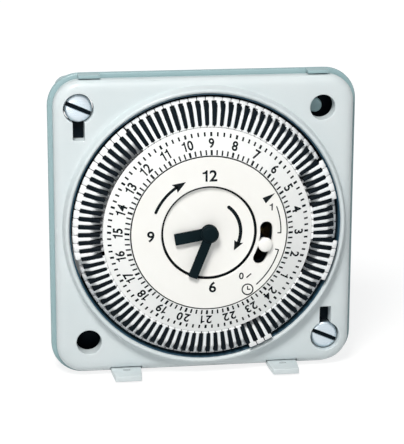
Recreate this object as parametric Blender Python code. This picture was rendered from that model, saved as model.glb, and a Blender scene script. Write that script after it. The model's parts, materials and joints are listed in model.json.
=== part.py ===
"""Panel-mounted 24 hour time switch, 72 mm square, as an assembly of its separate pieces.

Units are metres and +Z is up. The front looks along -Y. The origin is on the dial's axis, in the plane of the
panel that the switch is set into, so a level in front of the panel is -Y and a level behind it is +Y.
Angles on the dial are clock angles: 0 at the top, growing clockwise as seen from the front.
"""

import math

import bmesh
import bpy
from mathutils import Matrix, Vector

MM = 0.001

# Clearances
GAP = 0.3 * MM
DIAL_PLAY = 1.2 * MM

# Panel frame with its clips
FRAME_SIDE = 72.0 * MM
FRAME_HALF = FRAME_SIDE / 2
FRAME_CORNER = 7.5 * MM
FLANGE_THICK = 3.0 * MM
FLANGE_OVERLAP = 2.0 * MM
CUTOUT_SIDE = FRAME_SIDE - 2 * FLANGE_OVERLAP
CUTOUT_PLAY = 0.25 * MM
SKIRT_WALL = 1.6 * MM
SKIRT_CORNER = 3.0 * MM
SKIRT_DEPTH = 7.0 * MM
WEB_THICK = 1.0 * MM
TOP_CLIP_FROM_SIDE = 9.5 * MM
TOP_CLIP_OFFSET = FRAME_HALF - TOP_CLIP_FROM_SIDE
TOP_CLIP_WIDTH = 5.0 * MM
TOP_CLIP_REACH = 2.8 * MM
LOW_CLIP_FROM_SIDE = 17.3 * MM
LOW_CLIP_OFFSET = FRAME_HALF - LOW_CLIP_FROM_SIDE
LOW_CLIP_WIDTH = 7.0 * MM
LOW_CLIP_TIP_WIDTH = 6.2 * MM
LOW_CLIP_REACH = 9.6 * MM
LOW_CLIP_THICK = 1.35 * MM
LOW_CLIP_SETBACK = 0.45 * MM
CLIP_SLOT_WIDTH = 1.7 * MM
CLIP_SLOT_LENGTH = 0.8 * MM
CLIP_SLOT_FROM_TIP = 4.0 * MM
CLIP_INSET = 0.1 * MM

# Front plate with its collar and holes
PLATE_MARGIN = 1.15 * MM
PLATE_HALF = FRAME_HALF - PLATE_MARGIN
PLATE_THICK = 3.7 * MM
PLATE_ROUND = 1.7 * MM
PLATE_BORDER = 2.4 * MM
OPENING_MARGIN = 3.15 * MM
OPENING_RADIUS = PLATE_HALF - OPENING_MARGIN
COLLAR_WALL = 1.5 * MM
COLLAR_HEIGHT = 2.4 * MM
PLAIN_HOLE_RADIUS = 2.95 * MM
PLAIN_HOLE_FROM_EDGE = 7.45 * MM
PLAIN_HOLE_OFFSET = PLATE_HALF - PLAIN_HOLE_FROM_EDGE
KEYHOLE_SLOT_WIDTH = 2.75 * MM
KEYHOLE_SLOT_REACH = 7.4 * MM

# Clamping screws and claws
SCREW_FROM_SIDE = 5.75 * MM
SCREW_FROM_END = 6.45 * MM
SCREW_OFFSET_X = PLATE_HALF - SCREW_FROM_SIDE
SCREW_OFFSET_Z = PLATE_HALF - SCREW_FROM_END
SCREW_HEAD_RADIUS = 3.2 * MM
SCREW_HEAD_HEIGHT = 2.7 * MM
SCREW_SLOT_WIDTH = 0.9 * MM
SCREW_SLOT_DEPTH = 0.9 * MM
SCREW_SLOT_ANGLE = math.radians(-24)
SCREW_SHANK_RADIUS = 1.75 * MM
SCREW_LENGTH = 17.0 * MM
LUG_HALF = 4.0 * MM
LUG_DEPTH = 3.6 * MM
CLAW_WIDTH = 6.0 * MM
CLAW_THICK = 3.0 * MM
CLAW_GRIP = 0.7 * MM
CLAW_CHAMFER = 2.2 * MM
CLAW_TRAVEL = 5.0 * MM
PANEL_LEAST = 1.0 * MM

# Programme dial: the tappets fill the band between the collar and the numeral ring
TAPPET_LENGTH = 6.9 * MM
TAPPET_END_ROOM = 0.6 * MM
RING_RADIUS = OPENING_RADIUS - TAPPET_LENGTH - TAPPET_END_ROOM
RING_EDGE_RISE = 4.55 * MM
RING_THICK = 1.3 * MM
RING_EDGE_THICK = 0.35 * MM
CONE_ANGLE = math.radians(20.5)
NUMERAL_BAND = 6.2 * MM
CENTRE_DIAL_RADIUS = RING_RADIUS - NUMERAL_BAND
CENTRE_DIAL_THICK = 1.0 * MM
DIAL_TURN = math.radians(1.4)
HOURS = 24
TAPPETS_PER_HOUR = 4
HOUR_AT_TOP = 9
TAPPET_OUTER = 3.2 * MM
TAPPET_INNER = TAPPET_LENGTH - TAPPET_OUTER
TAPPET_TOP = 0.8 * MM
TAPPET_CROWN = 0.7 * MM
TAPPET_OUTER_TOP = 0.1 * MM
TAPPET_THICK = 1.5 * MM
TAPPET_BELLY = 0.6 * MM
TAPPET_WIDTH = 0.9 * MM
TAPPET_HEAD_LENGTH = 1.5 * MM
TAPPET_HEAD_PLAY = 0.3 * MM
TAPPET_OFF_ANGLE = math.radians(22)
TAPPET_SWING = math.radians(40)
SWITCHED_ON = (range(6, 11), range(16, 21), range(47, 64), range(90, 93))
TAPPETS_IN_GROUP = 6
TAPPET_WEB = 0.5 * MM
RIDGE_HALF = 0.75 * MM
FLOOR_THICK = 1.3 * MM
BOSS_SET_IN = 1.4 * MM
BOSS_RADIUS = CENTRE_DIAL_RADIUS - BOSS_SET_IN
BOSS_WALL = 1.4 * MM
BOSS_FLOOR = 0.8 * MM
NECK_WALL = 1.4 * MM

# Clock face
FACE_BAND = 7.5 * MM
DISC_RADIUS = CENTRE_DIAL_RADIUS - FACE_BAND
DISC_RECESS = 1.1 * MM
DISC_THICK = 0.7 * MM
HAND_THICK = 0.6 * MM
HAND_LIFT = 0.5 * MM
HUB_RADIUS = 2.05 * MM
HUB_CAP = 0.5 * MM
HOUR_HAND_SHORT_OF_EDGE = 2.4 * MM
HOUR_HAND_LENGTH = DISC_RADIUS - HOUR_HAND_SHORT_OF_EDGE
HOUR_HAND_WIDTH = 2.7 * MM
HOUR_HAND_ANGLE = math.radians(260.7)
MINUTE_HAND_PAST_EDGE = 0.7 * MM
MINUTE_HAND_LENGTH = DISC_RADIUS + MINUTE_HAND_PAST_EDGE
MINUTE_HAND_WIDTH = 2.2 * MM
MINUTE_HAND_ANGLE = math.radians(201.6)

# Override lever
OVERRIDE_FROM_DISC = 2.8 * MM
OVERRIDE_RADIUS = DISC_RADIUS + OVERRIDE_FROM_DISC
OVERRIDE_SLOT_HALF = 1.45 * MM
OVERRIDE_START = math.radians(86)
OVERRIDE_END = math.radians(118.4)
OVERRIDE_ANGLE = math.radians(103)
OVERRIDE_RING = 2.4 * MM
OVERRIDE_THICK = 0.8 * MM
KNOB_RADIUS = 1.7 * MM
KNOB_HEIGHT = 1.0 * MM
OVERRIDE_PIN_LENGTH = 2.5 * MM

# Movement
MOVEMENT_SETBACK = 1.7 * MM
MOVEMENT_PLATE_THICK = 1.5 * MM
ARBOR_RADIUS = 0.75 * MM
PIPE_WALL = 0.45 * MM
WHEEL_THICK = 1.0 * MM
WHEEL_SPACING = 1.9 * MM
DIAL_GEAR_RIM = 2.4 * MM
DIAL_GEAR_RADIUS = BOSS_RADIUS + DIAL_GEAR_RIM
DIAL_GEAR_WIDTH = 2.0 * MM
DIAL_GEAR_TEETH = 48
DRIVE_PINION_TEETH = 12
HOUR_DRIVE_TEETH = 24
DRIVE_WHEEL_TEETH = 12
DRIVE_BEARING = math.radians(150)
MOTION_DISTANCE = 8.75 * MM
MOTION_BEARING = math.radians(300)
HOUR_WHEEL_TEETH = 30
MOTION_PINION_TEETH = 10
CANNON_TEETH = 9
MOTION_WHEEL_TEETH = 36
MOTOR_DISTANCE = 9.0 * MM
MOTOR_BEARING = math.radians(210)
MINUTE_WHEEL_TEETH = 30
MOTOR_PINION_TEETH = 10
BRIDGE_THICK = 1.2 * MM
PILLAR_RADIUS = 2.2 * MM
PILLAR_FROM_WALL = 4.45 * MM
PILLAR_BEARINGS = tuple(math.radians(angle) for angle in (60, 180, 225, 340))
BRIDGE_SCREW_RADIUS = 0.9 * MM
BRIDGE_SCREW_HEAD = 1.9 * MM
MOTOR_RADIUS = 12.0 * MM
MOTOR_LENGTH = 11.0 * MM
MOTOR_WALL = 0.8 * MM
COIL_RADIUS = 10.0 * MM
COIL_BORE = 4.0 * MM

# Switch: it stands at the left, where the tappets at rest are on and leave the follower room to move
SWITCH_SIDE = -1
FOLLOWER_FROM_COLLAR = 1.8 * MM
FOLLOWER_X = SWITCH_SIDE * (OPENING_RADIUS - FOLLOWER_FROM_COLLAR)
FOLLOWER_WIDTH = 2.2 * MM
FOLLOWER_THICK = 1.1 * MM
FOLLOWER_NOSE = 1.0 * MM
FOLLOWER_PIN_RADIUS = 0.8 * MM
FOLLOWER_PIN_SET_IN = 4.0 * MM
FOLLOWER_PIN_X = FOLLOWER_X - SWITCH_SIDE * FOLLOWER_PIN_SET_IN
BLADE_THICK = 0.5 * MM
BLADE_WIDTH = 3.0 * MM
BLADE_FROM_CHAMFER = 2.95 * MM
BLADE_PAST_PIVOT = 2.0 * MM
BLADE_TIP_Z = 4.0 * MM
CONTACT_RADIUS = 1.2 * MM
CONTACT_HEIGHT = 0.6 * MM
CONTACT_OPENING = 1.6 * MM
CONTACT_STRIP_LENGTH = 8.0 * MM
BLOCK_LENGTH = 4.0 * MM

# Rear housing and terminals
HOUSING_PLAY = 0.7 * MM
HOUSING_WALL = 1.6 * MM
HOUSING_DEPTH = 29.0 * MM
LUG_CLEARANCE = 1.1 * MM
REAR_STEP = 3.45 * MM
COVER_THICK = 2.0 * MM
TAB_WIDTH = 6.3 * MM
TAB_THICK = 0.8 * MM
TAB_LENGTH = 8.0 * MM
TAB_INSIDE = 2.5 * MM
MOTOR_TAB_FROM_SIDE = 10.0 * MM
SWITCH_TAB_FROM_SIDE = 8.0 * MM
TAB_FROM_WALL = 11.0 * MM
TAB_PLACES = (0, 10, 20, 29, 38)
MOTOR_TAB_COUNT = 2

# Levels in front of the panel
PLATE_BACK = FLANGE_THICK + GAP
PLATE_FACE = PLATE_BACK + PLATE_THICK
RING_EDGE = PLATE_FACE + RING_EDGE_RISE
RING_INNER_RADIUS = CENTRE_DIAL_RADIUS + GAP
DIAL_FACE = RING_EDGE + (RING_RADIUS - RING_INNER_RADIUS) * math.tan(CONE_ANGLE)
DISC_FACE = DIAL_FACE - DISC_RECESS
DISC_BACK = DISC_FACE - DISC_THICK
LEVER_FRONT = DISC_BACK - GAP
LEVER_BACK = LEVER_FRONT - OVERRIDE_THICK
BOSS_FACE = LEVER_BACK - GAP
MOVEMENT_FRONT = FLANGE_THICK - MOVEMENT_SETBACK
MOVEMENT_BACK = MOVEMENT_FRONT - MOVEMENT_PLATE_THICK
GEAR_BACK = MOVEMENT_FRONT + DIAL_PLAY
GEAR_FRONT = GEAR_BACK + DIAL_GEAR_WIDTH
HOUR_HAND_BACK = DISC_FACE + HAND_LIFT
HOUR_HAND_FRONT = HOUR_HAND_BACK + HAND_THICK
MINUTE_HAND_BACK = max(HOUR_HAND_FRONT, DIAL_FACE) + HAND_LIFT

# Tappets: their pivot follows from the numeral ring's edge, which a tappet that is off meets flush
PIVOT_RADIUS = (
    RING_RADIUS + GAP + TAPPET_INNER * math.cos(TAPPET_OFF_ANGLE) - TAPPET_TOP * math.sin(TAPPET_OFF_ANGLE)
)
PIVOT_LEVEL = RING_EDGE - TAPPET_TOP * math.cos(TAPPET_OFF_ANGLE) - TAPPET_INNER * math.sin(TAPPET_OFF_ANGLE)
TAPPET_COUNT = HOURS * TAPPETS_PER_HOUR
TAPPET_PITCH = math.tau / TAPPET_COUNT
RIDGE_LEVEL = PIVOT_LEVEL + TAPPET_TOP - TAPPET_THICK - TAPPET_BELLY - 2 * GAP
FLOOR_BACK = GEAR_FRONT + GAP
FLOOR_FRONT = FLOOR_BACK + FLOOR_THICK

# Movement levels and radii
PIPE_BORE = ARBOR_RADIUS + GAP
PIPE_RADIUS = PIPE_BORE + PIPE_WALL
NECK_BORE = PIPE_RADIUS + GAP
NECK_RADIUS = NECK_BORE + NECK_WALL
HOUR_DRIVE_LEVEL = MOVEMENT_BACK - WHEEL_SPACING + WHEEL_THICK - GAP
HOUR_WHEEL_LEVEL = HOUR_DRIVE_LEVEL - WHEEL_SPACING
MOTION_LEVEL = HOUR_WHEEL_LEVEL - WHEEL_SPACING
MINUTE_LEVEL = MOTION_LEVEL - WHEEL_SPACING
BRIDGE_FRONT = MINUTE_LEVEL - WHEEL_SPACING
BRIDGE_BACK = BRIDGE_FRONT - BRIDGE_THICK
DRIVE_DISTANCE = DIAL_GEAR_RADIUS * (1 + DRIVE_PINION_TEETH / DIAL_GEAR_TEETH)

# Rear housing: its corners are cut off to clear the frame's screw lugs
HOUSING_HALF = CUTOUT_SIDE / 2 - CUTOUT_PLAY - SKIRT_WALL - HOUSING_PLAY
HOUSING_CHAMFER = 2 * (HOUSING_HALF + LUG_HALF) - SCREW_OFFSET_X - SCREW_OFFSET_Z + LUG_CLEARANCE
HOUSING_FRONT = MOVEMENT_BACK - GAP
HOUSING_BACK = HOUSING_FRONT - HOUSING_DEPTH
COVER_FRONT = HOUSING_BACK - GAP
COVER_BACK = COVER_FRONT - COVER_THICK
STEP_LEVEL = BRIDGE_BACK - GAP - BRIDGE_SCREW_RADIUS - GAP
REAR_HALF = HOUSING_HALF - REAR_STEP
REAR_CHAMFER = HOUSING_CHAMFER - REAR_STEP * (2 - math.sqrt(2))
TAB_Z = TAB_FROM_WALL - REAR_HALF
TAB_ROW = 2 * REAR_HALF - MOTOR_TAB_FROM_SIDE - SWITCH_TAB_FROM_SIDE
TAB_XS = [MOTOR_TAB_FROM_SIDE - REAR_HALF + TAB_ROW * place / TAB_PLACES[-1] for place in TAB_PLACES]
PILLAR_CIRCLE = HOUSING_HALF - PILLAR_FROM_WALL
BLADE_ROOT_Z = HOUSING_CHAMFER + BLADE_FROM_CHAMFER - HOUSING_HALF
FOLLOWER_PIVOT_Z = BLADE_ROOT_Z + BLADE_PAST_PIVOT
FOLLOWER_PIN_Z = FOLLOWER_PIVOT_Z / 2


def clear_scene():
    for item in list(bpy.data.objects):
        bpy.data.objects.remove(item)


def finish(name, colour, roughness, metallic=0.0):
    """A plain material of one colour."""
    made = bpy.data.materials.new(name)
    made.use_nodes = True
    shader = made.node_tree.nodes["Principled BSDF"]
    shader.inputs["Base Color"].default_value = (*colour, 1.0)
    shader.inputs["Roughness"].default_value = roughness
    shader.inputs["Metallic"].default_value = metallic
    return made


WHITE = (0.82, 0.85, 0.86)
PALE = (0.9, 0.91, 0.92)
GREY = (0.32, 0.45, 0.47)
BLACK = (0.012, 0.016, 0.02)
ZINC = (0.58, 0.62, 0.66)
BRASS = (0.72, 0.53, 0.22)
SILVER = (0.8, 0.79, 0.76)


def solid(name, shape, colour, roughness=0.45, metallic=0.0, at=(0.0, 0.0, 0.0), smooth=True):
    """An object made from a bmesh in world coordinates, with its origin at the point given."""
    bmesh.ops.recalc_face_normals(shape, faces=shape.faces)
    shape.transform(Matrix.Translation(-Vector(at)))
    mesh = bpy.data.meshes.new(name)
    shape.to_mesh(mesh)
    shape.free()
    if smooth:
        mesh.shade_smooth()
        mesh.set_sharp_from_angle(angle=math.radians(35))
    made = bpy.data.objects.new(name, mesh)
    made.location = at
    made.data.materials.append(finish(name, colour, roughness, metallic))
    bpy.context.scene.collection.objects.link(made)
    return made


def helper(name, shape):
    """A hidden object that another one is cut by or joined with."""
    made = solid(name, shape, GREY, smooth=False)
    made.hide_render = True
    made.display_type = "WIRE"
    return made


def combine(target, tool, operation):
    change = target.modifiers.new(tool.name, "BOOLEAN")
    change.object = tool
    change.operation = operation
    change.solver = "EXACT"


def prism(outline, holes, low, high, along="Y"):
    """A closed outline with holes, filled and extruded. Along Y it lies in (x, z) and low and high are levels in
    front of the panel; along X it lies in (z, level), and along Z in (x, level)."""
    place = {
        "Y": lambda a, b, c: (a, -c, b),
        "X": lambda a, b, c: (c, -b, a),
        "Z": lambda a, b, c: (a, -b, c),
    }[along]
    shape = bmesh.new()
    edges = []
    for loop in (outline, *holes):
        points = [shape.verts.new(place(a, b, low)) for a, b in loop]
        edges += [shape.edges.new((points[i - 1], points[i])) for i in range(len(points))]
    bmesh.ops.triangle_fill(shape, edges=edges, use_beauty=True)
    raised = bmesh.ops.extrude_face_region(shape, geom=shape.faces[:])
    moved = [item for item in raised["geom"] if isinstance(item, bmesh.types.BMVert)]
    step = Vector(place(0, 0, high)) - Vector(place(0, 0, low))
    bmesh.ops.translate(shape, verts=moved, vec=step)
    return shape


def turned(profile, steps, x=0.0, z=0.0):
    """A closed profile of (radius, level) points spun about an axis along Y through (x, z)."""
    shape = bmesh.new()
    points = [shape.verts.new((radius, -level, 0.0)) for radius, level in profile]
    pairs = [(i - 1, i) for i in range(len(points)) if profile[i - 1][0] or profile[i][0]]
    edges = [shape.edges.new((points[i], points[j])) for i, j in pairs]
    bmesh.ops.spin(
        shape, geom=points + edges, cent=(0, 0, 0), axis=(0, 1, 0), angle=math.tau, steps=steps, use_merge=True
    )
    bmesh.ops.remove_doubles(shape, verts=shape.verts, dist=0.001 * MM)
    bmesh.ops.translate(shape, verts=shape.verts, vec=(x, 0.0, z))
    return shape


def polar(radius, angle, x=0.0, z=0.0):
    """The (x, z) point at a clock angle round a centre."""
    return (x + radius * math.sin(angle), z + radius * math.cos(angle))


def circle(radius, count, x=0.0, z=0.0):
    return [polar(radius, math.tau * i / count, x, z) for i in range(count)]


def arc(radius, start, end, count, x=0.0, z=0.0):
    return [polar(radius, start + (end - start) * i / count, x, z) for i in range(count + 1)]


def rectangle(x0, z0, x1, z1):
    return [(x0, z0), (x1, z0), (x1, z1), (x0, z1)]


def rounded_square(half, radius, count=6):
    """A square with round corners, each a quarter of a circle."""
    points = []
    for quarter in range(4):
        start = quarter * math.pi / 2
        x = math.copysign(half - radius, (1, 1, -1, -1)[quarter])
        z = math.copysign(half - radius, (1, -1, -1, 1)[quarter])
        points += arc(radius, start, start + math.pi / 2, count, x, z)
    return points


def octagon(half, chamfer):
    """A square whose corners are cut off at 45 degrees, each by the length given along the sides."""
    near = half - chamfer
    return [
        (half, near), (half, -near), (near, -half), (-near, -half),
        (-half, -near), (-half, near), (-near, half), (near, half),
    ]


def arc_slot(radius, half_width, start, end, count=8):
    """A slot that follows a circle round the dial's axis and has round ends."""
    first = polar(radius, start)
    last = polar(radius, end)
    return (
        arc(radius + half_width, start, end, count)
        + arc(half_width, end, end + math.pi, count, *last)[1:-1]
        + arc(radius - half_width, end, start, count)
        + arc(half_width, start + math.pi, start + math.tau, count, *first)[1:-1]
    )


def gear(teeth, radius, phase, x=0.0, z=0.0):
    """A gear's outline: straight-sided teeth on a pitch circle, one of them at the clock angle given."""
    module = 2 * radius / teeth
    pitch = math.tau / teeth
    root = radius - 1.15 * module
    tip = radius + 0.8 * module
    tooth = ((root, -0.29), (tip, -0.11), (tip, 0.11), (root, 0.29))
    return [polar(r, phase + pitch * (i + share), x, z) for i in range(teeth) for r, share in tooth]


def meshing_phase(teeth, bearing):
    """The turn that sets a gap of the follower at the tooth that its driver points along a bearing."""
    return bearing + math.pi + math.pi / teeth


def make_frame():
    """The 72 mm frame that seats on the panel: flange, skirt through the cut-out, screw lugs and four clips."""
    skirt = CUTOUT_SIDE / 2 - CUTOUT_PLAY
    middle = rounded_square(skirt - SKIRT_WALL / 2, SKIRT_CORNER - SKIRT_WALL / 4)
    inner = rounded_square(skirt - SKIRT_WALL, SKIRT_CORNER - SKIRT_WALL / 2)
    flange = prism(rounded_square(FRAME_HALF, FRAME_CORNER), [middle], 0.0, FLANGE_THICK)
    frame = solid("mounting_frame", flange, GREY, 0.35)
    wall = prism(rounded_square(skirt, SKIRT_CORNER), [inner], -SKIRT_DEPTH, FLANGE_THICK - GAP / 2)
    combine(frame, helper("frame_skirt", wall), "UNION")
    clear = octagon(HOUSING_HALF + 2 * GAP, HOUSING_CHAMFER)
    web_outline = rounded_square(skirt - SKIRT_WALL / 4, SKIRT_CORNER - SKIRT_WALL / 4)
    webs = prism(web_outline, [clear], -WEB_THICK / 2, WEB_THICK / 2)
    combine(frame, helper("frame_webs", webs), "UNION")
    for side in (-1, 1):
        make_lug(frame, side, skirt)
    make_clips(frame)
    return frame


def make_lug(frame, side, skirt):
    """The block in a corner of the frame that a clamping screw turns in, and the notch that its claw works in."""
    x = side * SCREW_OFFSET_X
    z = -side * SCREW_OFFSET_Z
    outer_x = side * (skirt - SKIRT_WALL / 3)
    outer_z = -side * (skirt - SKIRT_WALL / 3)
    corners = rectangle(x - side * LUG_HALF, z + side * LUG_HALF, outer_x, outer_z)
    lug = prism(corners, [], FLANGE_THICK - LUG_DEPTH, FLANGE_THICK - GAP)
    combine(frame, helper(f"frame_lug_{side}", lug), "UNION")
    hole = prism(circle(SCREW_SHANK_RADIUS + GAP, 16, x, z), [], -LUG_DEPTH, FLANGE_THICK + GAP)
    combine(frame, helper(f"frame_hole_{side}", hole), "DIFFERENCE")
    half = CLAW_WIDTH / 2 + GAP
    near = side * (skirt - SKIRT_WALL - SKIRT_CORNER / 2)
    far = side * (skirt + GAP)
    box = rectangle(near, z - half, far, z + half)
    notch = prism(box, [], -SKIRT_DEPTH - GAP, -PANEL_LEAST / 2)
    combine(frame, helper(f"frame_notch_{side}", notch), "DIFFERENCE")


def make_clips(frame):
    """Two short tabs along the plate's top edge and two long tongues under its bottom edge."""
    root = FLANGE_THICK / 2
    top_tip = FLANGE_THICK + TOP_CLIP_REACH
    under = PLATE_HALF + GAP
    over = FRAME_HALF - CLIP_INSET
    tab = [(over, root), (over, top_tip), (under, top_tip), (under, root)]
    tip = FLANGE_THICK + LOW_CLIP_REACH
    low = -FRAME_HALF + LOW_CLIP_SETBACK
    for side in (-1, 1):
        x = side * TOP_CLIP_OFFSET
        clip = prism(tab, [], x - TOP_CLIP_WIDTH / 2, x + TOP_CLIP_WIDTH / 2, along="X")
        combine(frame, helper(f"top_clip_{side}", clip), "UNION")
        x = side * LOW_CLIP_OFFSET
        tongue = [
            (x - LOW_CLIP_WIDTH / 2, root), (x + LOW_CLIP_WIDTH / 2, root),
            (x + LOW_CLIP_WIDTH / 2, PLATE_FACE), (x + LOW_CLIP_TIP_WIDTH / 2, tip),
            (x - LOW_CLIP_TIP_WIDTH / 2, tip), (x - LOW_CLIP_WIDTH / 2, PLATE_FACE),
        ]
        far = tip - CLIP_SLOT_FROM_TIP
        slot = rectangle(x - CLIP_SLOT_WIDTH / 2, far - CLIP_SLOT_LENGTH, x + CLIP_SLOT_WIDTH / 2, far)
        clip = prism(tongue, [slot], low, low + LOW_CLIP_THICK, along="Z")
        combine(frame, helper(f"low_clip_{side}", clip), "UNION")


def keyhole(side):
    """The hole over a clamping screw's head, with the straight slot that runs from it along the plate's edge."""
    x = side * SCREW_OFFSET_X
    z = -side * SCREW_OFFSET_Z
    radius = SCREW_HEAD_RADIUS + GAP
    half = KEYHOLE_SLOT_WIDTH / 2
    spread = math.asin(half / radius)
    towards = math.pi if side < 0 else 0.0
    round_part = arc(radius, towards + spread, towards + math.tau - spread, 20, x, z)
    end = z + side * KEYHOLE_SLOT_REACH
    return round_part + [(x + side * -half, end), (x + side * half, end)]


def make_front_plate():
    """The white plate with a pillowed edge and a round collar, notched for the tongues."""
    corner = FRAME_CORNER - PLATE_MARGIN
    layers = []
    for share in (0.0, 0.35, 0.7, 0.92, 1.0):
        narrow = PLATE_BORDER * (1 - share)
        sink = PLATE_ROUND * (1 - math.sqrt(1 - share * share))
        layers.append((PLATE_HALF - narrow, corner - narrow, PLATE_FACE - sink))
    plate = solid("front_plate", pillow(layers), WHITE, 0.4)
    low = PLATE_BACK - GAP
    high = PLATE_FACE + GAP
    cuts = [circle(OPENING_RADIUS + COLLAR_WALL / 2, 60), keyhole(-1), keyhole(1)]
    for side in (-1, 1):
        cuts.append(circle(PLAIN_HOLE_RADIUS, 24, side * PLAIN_HOLE_OFFSET, side * PLAIN_HOLE_OFFSET))
        half = LOW_CLIP_WIDTH / 2 + GAP
        x = side * LOW_CLIP_OFFSET
        top_edge = -FRAME_HALF + LOW_CLIP_SETBACK + LOW_CLIP_THICK + GAP
        cuts.append(rectangle(x - half, -FRAME_HALF, x + half, top_edge))
    for number, outline in enumerate(cuts):
        combine(plate, helper(f"plate_cut_{number}", prism(outline, [], low, high)), "DIFFERENCE")
    outer = OPENING_RADIUS + COLLAR_WALL
    top = PLATE_FACE + COLLAR_HEIGHT
    lip = COLLAR_WALL / 3
    base = PLATE_BACK + PLATE_THICK / 4
    ring = turned(
        [
            (OPENING_RADIUS, base), (OPENING_RADIUS, top - lip), (OPENING_RADIUS + lip, top),
            (outer - lip, top), (outer, base),
        ],
        60,
    )
    combine(plate, helper("plate_collar", ring), "UNION")
    return plate


def pillow(layers):
    """A block whose front edge is rounded: rings of a round-cornered square, closed front and back."""
    shape = bmesh.new()
    rings = []
    for half, corner, level in (*layers, (layers[-1][0], layers[-1][1], PLATE_BACK)):
        rings.append([shape.verts.new((x, -level, z)) for x, z in rounded_square(half, corner)])
    for near, far in zip(rings, rings[1:]):
        for i in range(len(near)):
            shape.faces.new((near[i - 1], near[i], far[i], far[i - 1]))
    shape.faces.new(rings[0])
    shape.faces.new(rings[-1])
    return shape


def make_clamps():
    """The two slotted screws and the claws that they draw up behind the panel."""
    for name, side in (("upper", -1), ("lower", 1)):
        x = side * SCREW_OFFSET_X
        z = -side * SCREW_OFFSET_Z
        head = FLANGE_THICK + GAP
        top = head + SCREW_HEAD_HEIGHT
        chamfer = SCREW_HEAD_HEIGHT / 6
        profile = [
            (0.0, top), (SCREW_HEAD_RADIUS - chamfer, top), (SCREW_HEAD_RADIUS, top - chamfer),
            (SCREW_HEAD_RADIUS, head), (SCREW_SHANK_RADIUS, head),
            (SCREW_SHANK_RADIUS, head - SCREW_LENGTH), (0.0, head - SCREW_LENGTH),
        ]
        screw = solid(f"clamp_screw_{name}", turned(profile, 20, x, z), ZINC, 0.3, 1.0, at=(x, 0.0, z))
        reach = SCREW_HEAD_RADIUS + GAP
        bar = rectangle(-reach, -SCREW_SLOT_WIDTH / 2, reach, SCREW_SLOT_WIDTH / 2)
        turn = Matrix.Rotation(SCREW_SLOT_ANGLE, 2)
        bar = [tuple(Vector((x, z)) + turn @ Vector(point)) for point in bar]
        slot = helper(f"slot_{name}", prism(bar, [], top - SCREW_SLOT_DEPTH, top + GAP))
        combine(screw, slot, "DIFFERENCE")
        make_claw(name, side, x, z)


def make_claw(name, side, x, z):
    """A flat claw on the screw's thread, with a tapered arm past the cut-out's edge."""
    front = -PANEL_LEAST - CLAW_TRAVEL
    half = CLAW_WIDTH / 2
    far = side * (CUTOUT_SIDE / 2 + CLAW_GRIP)
    root = x - side * half
    near = far - side * CLAW_CHAMFER
    flat = half - CLAW_CHAMFER
    body = [(root, z - half), (near, z - half), (far, z - flat), (far, z + flat), (near, z + half), (root, z + half)]
    hole = circle(SCREW_SHANK_RADIUS + GAP / 2, 20, x, z)
    claw = prism(body, [hole], front - CLAW_THICK, front)
    solid(f"clamp_claw_{name}", claw, ZINC, 0.35, 1.0, at=(x, -front, z), smooth=False)


def cone_level(radius):
    """The level of the numeral ring's printed face."""
    return RING_EDGE + (RING_RADIUS - radius) * math.tan(CONE_ANGLE)


def make_dial():
    """The conical numeral ring and the black carrier that holds the tappets and the dial's gear."""
    inner = RING_INNER_RADIUS
    ring = [
        (inner, cone_level(inner)), (RING_RADIUS, RING_EDGE),
        (RING_RADIUS, RING_EDGE - RING_EDGE_THICK),
        (RING_RADIUS - RING_THICK / 2, RING_EDGE - RING_EDGE_THICK - RING_THICK / 2),
        (RING_RADIUS - RING_THICK, cone_level(RING_RADIUS - RING_THICK) - RING_THICK),
        (inner, cone_level(inner) - RING_THICK),
    ]
    solid("numeral_ring", turned(ring, 60), PALE, 0.5)
    bore = BOSS_RADIUS + GAP
    under = RING_THICK + GAP
    wall = RING_RADIUS - RING_THICK
    shoulder = min(cone_level(inner) - under, DIAL_FACE - CENTRE_DIAL_THICK - GAP)
    hub = (bore + DIAL_GEAR_RADIUS * (1 - 2.3 / DIAL_GEAR_TEETH)) / 2
    ridge = PIVOT_RADIUS - RIDGE_HALF
    rim = PIVOT_RADIUS + RIDGE_HALF
    profile = [
        (bore, GEAR_BACK), (bore, shoulder), (inner, shoulder), (wall, cone_level(wall) - under),
        (wall, FLOOR_FRONT), (ridge, FLOOR_FRONT), (ridge, RIDGE_LEVEL), (rim, RIDGE_LEVEL),
        (rim, FLOOR_BACK), (hub, FLOOR_BACK), (hub, GEAR_BACK),
    ]
    carrier = solid("tappet_carrier", turned(profile, 48), BLACK, 0.5)
    teeth = gear(DIAL_GEAR_TEETH, DIAL_GEAR_RADIUS, DRIVE_BEARING)
    wheel = prism(teeth, [circle((bore + hub) / 2, 36)], GEAR_BACK, GEAR_FRONT)
    combine(carrier, helper("dial_gear", wheel), "UNION")


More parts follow.
